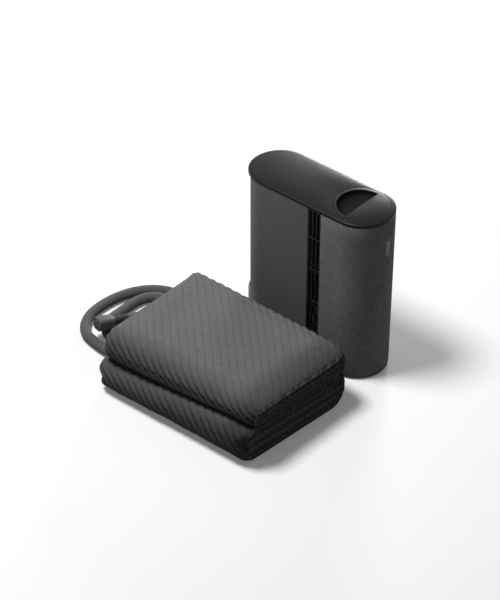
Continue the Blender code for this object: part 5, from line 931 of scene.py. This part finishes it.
# Finishes
class Flow:
    # one output of a material's nodes; arithmetic on it adds Math nodes
    def __init__(self, finish, socket):
        self.finish, self.socket = finish, socket

    def join(self, operation, *others):
        return self.finish.out("ShaderNodeMath", {"operation": operation}, dict(enumerate([self, *others])))

    def __add__(self, other):
        return self.join("ADD", other)

    def __mul__(self, other):
        return self.join("MULTIPLY", other)

    def __sub__(self, other):
        return self.join("SUBTRACT", other)

    def __truediv__(self, other):
        return self.join("DIVIDE", other)

    def sine(self):
        return self.join("SINE")

    def absolute(self):
        return self.join("ABSOLUTE")

    def wave(self, length):
        # 0 at each multiple of the length and 1 midway, as the size of a sine
        return (self * (math.pi / length)).sine().absolute()

    def between(self, low, high, toLow=0.0, toHigh=1.0):
        return self.finish.out("ShaderNodeMapRange", {"interpolation_type": "SMOOTHSTEP", "clamp": True},
                               {"Value": self, "From Min": low, "From Max": high,
                                "To Min": toLow, "To Max": toHigh})


class Nodes:
    # a node tree made node by node
    def __init__(self, owner):
        owner.use_nodes = True
        self.tree = owner.node_tree
        self.tree.nodes.clear()

    def feed(self, socket, value):
        # links an output to the socket, or sets it to a number, a vector or a colour
        value = getattr(value, "socket", value)
        if isinstance(value, bpy.types.NodeSocket):
            self.tree.links.new(value, socket)
        else:
            socket.default_value = (*value, 1.0) if socket.type == "RGBA" else value

    def node(self, kind, settings=None, inputs=None):
        node = self.tree.nodes.new(kind)
        for key, value in (settings or {}).items():
            setattr(node, key, value)
        for key, value in (inputs or {}).items():
            self.feed(node.inputs[key], value)
        return node

    def out(self, kind, settings=None, inputs=None, output=0):
        return Flow(self, self.node(kind, settings, inputs).outputs[output])

    def place(self, scale=(1.0, 1.0, 1.0), onCloth=False):
        if onCloth:
            source = self.out("ShaderNodeUVMap", {"uv_map": "layout"})
        else:
            source = self.out("ShaderNodeTexCoord", output="Object")
        return self.out("ShaderNodeMapping", {}, {"Vector": source, "Scale": scale})

    def part(self, vector, axis):
        return self.out("ShaderNodeSeparateXYZ", {}, {"Vector": vector}, output=axis)

    def noise(self, place, scale, detail=3.0, rough=0.55):
        return self.out("ShaderNodeTexNoise", {}, {"Vector": place, "Scale": scale, "Detail": detail,
                                                   "Roughness": rough}, output="Fac")

    def cells(self, place, scale, random=1.0):
        return self.out("ShaderNodeTexVoronoi", {}, {"Vector": place, "Scale": scale, "Randomness": random},
                        output="Distance")

    def mix(self, share, low, high):
        # colour mix, by the numbers of the node's colour sockets
        return self.out("ShaderNodeMix", {"data_type": "RGBA"}, {0: share, 6: low, 7: high}, output=2)

    def bump(self, height, depth, strength=1.0):
        return self.out("ShaderNodeBump", {}, {"Height": height, "Distance": depth, "Strength": strength})


class Finish(Nodes):
    # a material, with its one shader
    sockets = {"colour": "Base Color", "rough": "Roughness", "normal": "Normal", "metal": "Metallic",
               "specular": "Specular IOR Level", "sheen": "Sheen Weight", "sheenRough": "Sheen Roughness",
               "through": "Transmission Weight", "ior": "IOR"}

    def __init__(self, name):
        self.material = bpy.data.materials.new(name)
        super().__init__(self.material)
        self.surface = self.node("ShaderNodeBsdfPrincipled")
        self.node("ShaderNodeOutputMaterial", {}, {"Surface": self.surface.outputs[0]})

    def wear(self, **values):
        # sets or links the shader's own sockets
        for key, value in values.items():
            self.feed(self.surface.inputs[self.sockets[key]], value)
        return self.material


def shades(tone, *shares):
    return [tuple(channel * share for channel in tone) for share in shares]


def hubPlastic(name, tone, rough=0.45, specular=0.35, spark=0.00003):
    # moulded plastic: fine spark texture, slow changes of tone and gloss
    f = Finish(name)
    spot = f.place()
    cloud = f.noise(spot, 7.0, 2.0)
    grain = f.noise(spot, 1900.0, 2.0)
    return f.wear(colour=f.mix(cloud * 0.7 + grain * 0.3, *shades(tone, 0.93, 1.07)), specular=specular,
                  rough=cloud.between(0.3, 0.7, rough - 0.03, rough + 0.04) + grain * 0.04,
                  normal=f.bump(grain, spark, 0.5))


def wovenCloth(name, tone):
    # plain weave laid out by arc and height, its threads of mixed tones with long flecks up the cloth
    f = Finish(name)
    thread = 0.00085
    cloth = f.place(onCloth=True)
    height, run = f.part(cloth, 0), f.part(cloth, 1)
    weft, warp = height.wave(thread), run.wave(thread)
    over = (height * (math.pi / thread)).sine() * (run * (math.pi / thread)).sine()
    weave = over.between(-0.2, 0.2) * (weft - warp) + warp
    fleck = f.noise(f.place((0.045, 1.0, 1.0), onCloth=True), 1100.0, 2.0, 0.7)
    cross = f.noise(f.place((1.0, 0.06, 1.0), onCloth=True), 900.0, 2.0, 0.7)
    cloud = f.noise(f.place(), 12.0, 2.0)
    mixed = fleck * 0.62 + cross * 0.26 + cloud * 0.12
    body = f.mix(mixed.between(0.34, 0.68), *shades(tone, 0.45, 1.6))
    return f.wear(colour=f.mix(weave.between(0.0, 0.6), *shades(tone, 0.5), body),
                  rough=0.86, specular=0.2, sheen=0.12, sheenRough=0.5,
                  normal=f.bump(weave + mixed * 0.5, 0.00022, 0.8))


# lengths in the pad's cover
knitForm = {
    "rib": 0.0011,
    "loop": 0.0014,
    "stitch": 0.0016,
    "seam": (0.0003, 0.0017),        # from a seam's middle, between which its painted shade gives way to the cloth's
    "thread": (0.00025, 0.00045),    # and that of its stitches
    "meshBlend": 0.001,
    "bump": 0.0004,
}


def quiltCloth(name, tone):
    # knitted cover: fine rows of loops, sewn lines with their stitches and painted shade along them, darker
    # mesh on the layers' ends with painted shade in its hollows
    f = Finish(name)
    k = knitForm
    cloth = f.place(onCloth=True)
    x, run = f.part(cloth, 0), f.part(cloth, 1)
    farEnd = pad["length"] / 2 + pad["farEndOut"]
    meshFrom = farEnd - pad["meshFrom"]
    onEnd = x.between(meshFrom - k["meshBlend"], meshFrom)
    # painted shade: the skin is darkened towards the far end and along the leaves' fronts, where they turn
    # away from the light
    start, stop, least = pad["endShadePainted"]
    paintedShade = x.between(farEnd - start, farEnd - stop, 1.0, least)
    far, near, least = pad["frontShadePainted"]
    lastRun = float(alongRows(padRows()[0])[-1])
    paintedShade = paintedShade * run.between(near, far, least, 1.0) * run.between(lastRun - far, lastRun - near, 1.0, least)
    place, across = channelPlace(x, run, Flow.sine)
    fromSeam = place.wave(1.0) * (pad["pitch"] / math.pi)
    ribbed = x.wave(k["rib"])
    loops = (run * (math.pi / k["loop"]) + ribbed * 1.1).sine().absolute()
    knit = ribbed * 0.55 + loops * 0.45
    spot = f.place()
    speck = f.noise(spot, 900.0, 3.0, 0.7)
    mixed = speck * 0.55 + knit * 0.25 + f.noise(spot, 16.0, 2.0) * 0.2
    creased = f.out("ShaderNodeCombineXYZ", {}, {"X": place * 0.8, "Y": across * 210.0})
    crease = f.noise(creased, 1.0, 2.0, 0.6)
    body = f.mix((mixed * 0.7 + crease * 0.3).between(0.3, 0.72), *shades(tone, 0.74, 1.22))
    # painted shade along the sewn lines: the cloth there is darkened to 0.76 of its tone, as shade in their
    # grooves
    seam = fromSeam.between(*k["seam"])
    stitch = (across * (math.pi / k["stitch"])).sine().between(-0.1, 0.3)
    stitch = stitch * fromSeam.between(*k["thread"], 1.0, 0.0)
    skin = f.mix(stitch * 0.7, f.mix(seam, *shades(tone, 0.76), body), *shades(tone, 0.9))
    # the painted shade takes the skin towards black
    skin = f.mix(paintedShade, (0.0, 0.0, 0.0), skin)
    # mesh: hollow cells on a slant in each layer of the end, their hollows painted darker as shade, mixed
    # with cells of random tone
    layer = 2 * pad["height"] / 4 / pad["layers"]
    slanted = ((x - pad["endShift"]) / pad["cellPitch"] + run * (pad["cellSlant"] / layer)).wave(1.0)
    hollow = slanted.between(0.12, 0.5) * run.wave(layer).between(0.1, 0.6)
    dark = hollow * 0.7 + f.cells(spot, 900.0).between(0.1, 0.6) * 0.3
    mesh = f.mix(dark, *shades(tone, 1.05, 0.36))
    height = knit * 0.5 + speck * 0.6 + seam * 0.8 + stitch * 0.4 + crease * 2.4
    return f.wear(colour=f.mix(onEnd, skin, mesh), rough=0.95, specular=0.02, sheen=0.0,
                  normal=f.bump(height, k["bump"], 0.7))


def hoseCloth(name, tone):
    # braided sleeve: two families of strands wound both ways round the hose, over and under each other
    f = Finish(name)
    sleeve = f.place(onCloth=True)
    girth, run = f.part(sleeve, 0), f.part(sleeve, 1)
    strands = hose["strands"] / (math.pi * hose["thick"])
    right = ((girth * strands + run * hose["braid"]) * math.pi).sine()
    left = ((girth * strands - run * hose["braid"]) * math.pi).sine()
    rightSize, leftSize = right.absolute(), left.absolute()
    braid = (right * left).between(-0.3, 0.3) * (rightSize - leftSize) + leftSize
    speck = f.noise(f.place(), 700.0, 3.0, 0.65)
    mixed = speck * 0.5 + braid * 0.35 + f.noise(f.place(), 14.0, 2.0) * 0.15
    return f.wear(colour=f.mix(mixed.between(0.25, 0.75), *shades(tone, 0.55, 1.35)), rough=0.78,
                  specular=0.22, sheen=0.1, sheenRough=0.5, normal=f.bump(braid + speck * 0.4, 0.0003, 0.7))


def softRubber(name, tone, rough=0.65):
    f = Finish(name)
    spot = f.place()
    dust = f.noise(spot, 60.0, 4.0, 0.7)
    return f.wear(colour=f.mix(dust, *shades(tone, 0.85, 1.25)), specular=0.3,
                  rough=dust.between(0.3, 0.8, rough - 0.05, rough + 0.1),
                  normal=f.bump(f.noise(spot, 2600.0, 2.0), 0.00002, 0.5))


def bareMetal(name, tone, rough, brushed=(1.0, 1.0, 1.0)):
    f = Finish(name)
    line = f.noise(f.place(brushed), 800.0, 3.0, 0.6)
    smear = f.noise(f.place(), 30.0, 3.0)
    return f.wear(colour=f.mix(line, *shades(tone, 0.9, 1.05)), metal=1.0, normal=f.bump(line, 0.00001, 0.4),
                  rough=(line * 0.5 + smear * 0.5).between(0.3, 0.7, rough - 0.06, rough + 0.08))


def circuitBoard(name, tone):
    # solder mask over copper tracks: straight runs in cells of a coarse grid
    f = Finish(name)
    spot = f.place()
    fine = (f.part(spot, 2) * 900.0).sine().between(0.75, 0.85)
    tracks = fine * f.cells(spot, 110.0, 0.6).between(0.35, 0.4)
    return f.wear(colour=f.mix(tracks, *shades(tone, 1.0, 2.2)), rough=0.35,
                  normal=f.bump(tracks, 0.00003, 0.6))


def clearTank(name, tone):
    # smoked plastic of the tank, a little cloudy
    f = Finish(name)
    spot = f.place()
    haze = f.noise(spot, 22.0, 3.0)
    return f.wear(colour=f.mix(haze, *shades(tone, 0.85, 1.1)), rough=haze.between(0.3, 0.7, 0.16, 0.28),
                  specular=0.5, through=0.25, ior=1.45,
                  normal=f.bump(f.noise(spot, 160.0, 2.0), 0.00004, 0.4))


def paleCeramic(name, tone):
    f = Finish(name)
    speck = f.noise(f.place(), 1400.0, 3.0)
    return f.wear(colour=f.mix(speck, *shades(tone, 0.9, 1.05)), rough=0.55,
                  normal=f.bump(speck, 0.00002, 0.4))


def openGrid(name, tone):
    # coarse fabric that carries the water channels
    f = Finish(name)
    net = f.cells(f.place(), 420.0, 0.2)
    return f.wear(colour=f.mix(net.between(0.1, 0.6), *shades(tone, 1.0, 0.4)), rough=0.9,
                  normal=f.bump(net, 0.0003, 0.6))


def makeFinishes():
    def grey(shade):
        return (shade, shade, shade * 1.03)

    return {
        "hub_plastic": hubPlastic("satinShell", grey(0.012), 0.32, 0.10),
        # painted light: the rear shell is the cap's plastic, made much paler so that its sides, which get
        # less light, look as bright as the cap
        "lightened_shell_plastic": hubPlastic("sideShell", grey(0.135), 0.42, 0.12),
        "base_plastic": hubPlastic("darkTrim", grey(0.020), 0.5),
        "vent_plastic": hubPlastic("ventBars", grey(0.012), 0.55, 0.15),
        "inner_plastic": hubPlastic("innerMoulding", grey(0.08), 0.5),
        "connector_plastic": hubPlastic("connectorShell", grey(0.075), 0.42, 0.35, 0.00002),
        "hub_fabric": wovenCloth("wrapCloth", grey(0.215)),
        "pad_fabric": quiltCloth("quiltKnit", (0.157, 0.154, 0.149)),
        "grid_fabric": openGrid("channelNet", grey(0.1)),
        "hose_sleeve": hoseCloth("hoseBraid", grey(0.10)),
        "rubber": softRubber("softBoot", grey(0.015)),
        "seal_rubber": softRubber("paleSeal", (0.35, 0.33, 0.31), 0.5),
        "silicone": softRubber("siliconeTube", (0.5, 0.5, 0.48), 0.35),
        "light_lens": softRubber("lightLens", (0.13, 0.13, 0.135), 0.35),
        "steel": bareMetal("plainSteel", (0.56, 0.56, 0.55), 0.32),
        "aluminium": bareMetal("millAluminium", (0.77, 0.78, 0.79), 0.38, (1.0, 1.0, 0.08)),
        "black_aluminium": bareMetal("blackAnodised", (0.03, 0.03, 0.032), 0.5, (1.0, 1.0, 0.08)),
        "ceramic": paleCeramic("moduleCeramic", (0.62, 0.61, 0.58)),
        "board": circuitBoard("controlBoard", (0.015, 0.075, 0.035)),
        "tank_plastic": clearTank("smokedTank", (0.22, 0.24, 0.26)),
    }


def dress(finishes):
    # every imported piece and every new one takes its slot's finish
    slots = {part["node"]: part["material_slot"] for part in frame["record"]["subparts"]}
    # a paler copy of the cap's plastic on the rear shell: painted light on its sides
    slots["rear_shell"] = "lightened_shell_plastic"
    # painted shade: the heat sink takes the black finish, so that it shows dark through the vents instead of
    # catching light
    slots["heat_sink"] = "black_aluminium"
    for name, node in nodes.items():
        node.data.materials.clear()
        node.data.materials.append(finishes[slots[name]])
    for name, slot in pieceSlots.items():
        bpy.data.objects[name].data.materials.append(finishes[slot])
    print("finishes on", len(nodes), "packed nodes and", len(pieceSlots), "pieces")


# Studio
studio = {
    "floorWidth": 30.0,
    "floorShade": 0.95,
    "floorGlow": 0.12,
    "skyShade": 0.13,
    "floorBounce": 0.20,         # the floor's shade for light that falls on from it
    "white": (1.0, 1.0, 1.0),
    "middle": (0.0, 0.02, 0.16),
    "lampDistance": 3.0,
    "lampSize": 0.9,
    "lamps": {
        "keyLamp": {"turn": -46.0, "rise": 72.0, "power": 77.0, "diffuse": 1.0},
        "rearLamp": {"turn": -153.0, "rise": 13.0, "power": 46.0, "diffuse": 0.01},
    },
}


def seenDirectly(tree):
    # 1 for what the camera sees, also in a reflection or through clear plastic
    ray = tree.node("ShaderNodeLightPath")
    seen = Flow(tree, ray.outputs["Is Camera Ray"])
    for way in ("Is Glossy Ray", "Is Transmission Ray"):
        seen = seen.join("MAXIMUM", ray.outputs[way])
    return seen


def makeStudio():
    s = studio
    world = bpy.data.worlds.new("studio")
    scene.world = world
    sky = Nodes(world)
    dim, bright = [sky.node("ShaderNodeBackground", {}, {"Color": s["white"], "Strength": power}).outputs[0]
                   for power in (s["skyShade"], 1.0)]
    both = sky.node("ShaderNodeMixShader", {}, {0: seenDirectly(sky), 1: dim, 2: bright})
    sky.node("ShaderNodeOutputWorld", {}, {"Surface": both.outputs[0]})
    half = s["floorWidth"] / 2
    corners = [(x * half, y * half, 0.0) for x, y in ((-1, -1), (1, -1), (1, 1), (-1, 1))]
    floor = buildMesh("studioFloor", corners, [[(0, 1, 2, 3)]], hard=None)
    paper = bpy.data.materials.new("floorPaper")
    paint = Nodes(paper)
    plain, bounce = [paint.node("ShaderNodeBsdfDiffuse", {}, {"Color": (s[shade],) * 3}).outputs[0]
                     for shade in ("floorShade", "floorBounce")]
    glow = paint.node("ShaderNodeEmission", {}, {"Color": s["white"], "Strength": s["floorGlow"]})
    lit = paint.node("ShaderNodeAddShader", {}, {0: plain, 1: glow.outputs[0]})
    both = paint.node("ShaderNodeMixShader", {}, {0: seenDirectly(paint), 1: bounce, 2: lit.outputs[0]})
    paint.node("ShaderNodeOutputMaterial", {}, {"Surface": both.outputs[0]})
    floor.data.materials.append(paper)
    for name, lamp in s["lamps"].items():
        turn, rise = math.radians(lamp["turn"]), math.radians(lamp["rise"])
        away = Vector((math.sin(turn) * math.cos(rise), -math.cos(turn) * math.cos(rise), math.sin(rise)))
        light = bpy.data.lights.new(name, "AREA")
        light.shape = "DISK"
        light.size = s["lampSize"]
        light.energy = lamp["power"]
        light.diffuse_factor = lamp["diffuse"]
        holder = bpy.data.objects.new(name, light)
        holder.location = Vector(s["middle"]) + away * s["lampDistance"]
        holder.rotation_euler = away.to_track_quat("Z", "Y").to_euler()
        scene.collection.objects.link(holder)
    scene.view_settings.view_transform = "Standard"
    print("studio with", len(s["lamps"]), "lamps")


# Making
makeCamera()
waterHose, hosePath, hoseLength = makeHose()
connectorBody, connectorSleeve = makeConnector()
makePad()
makeHub()
dress(makeFinishes())
makeStudio()
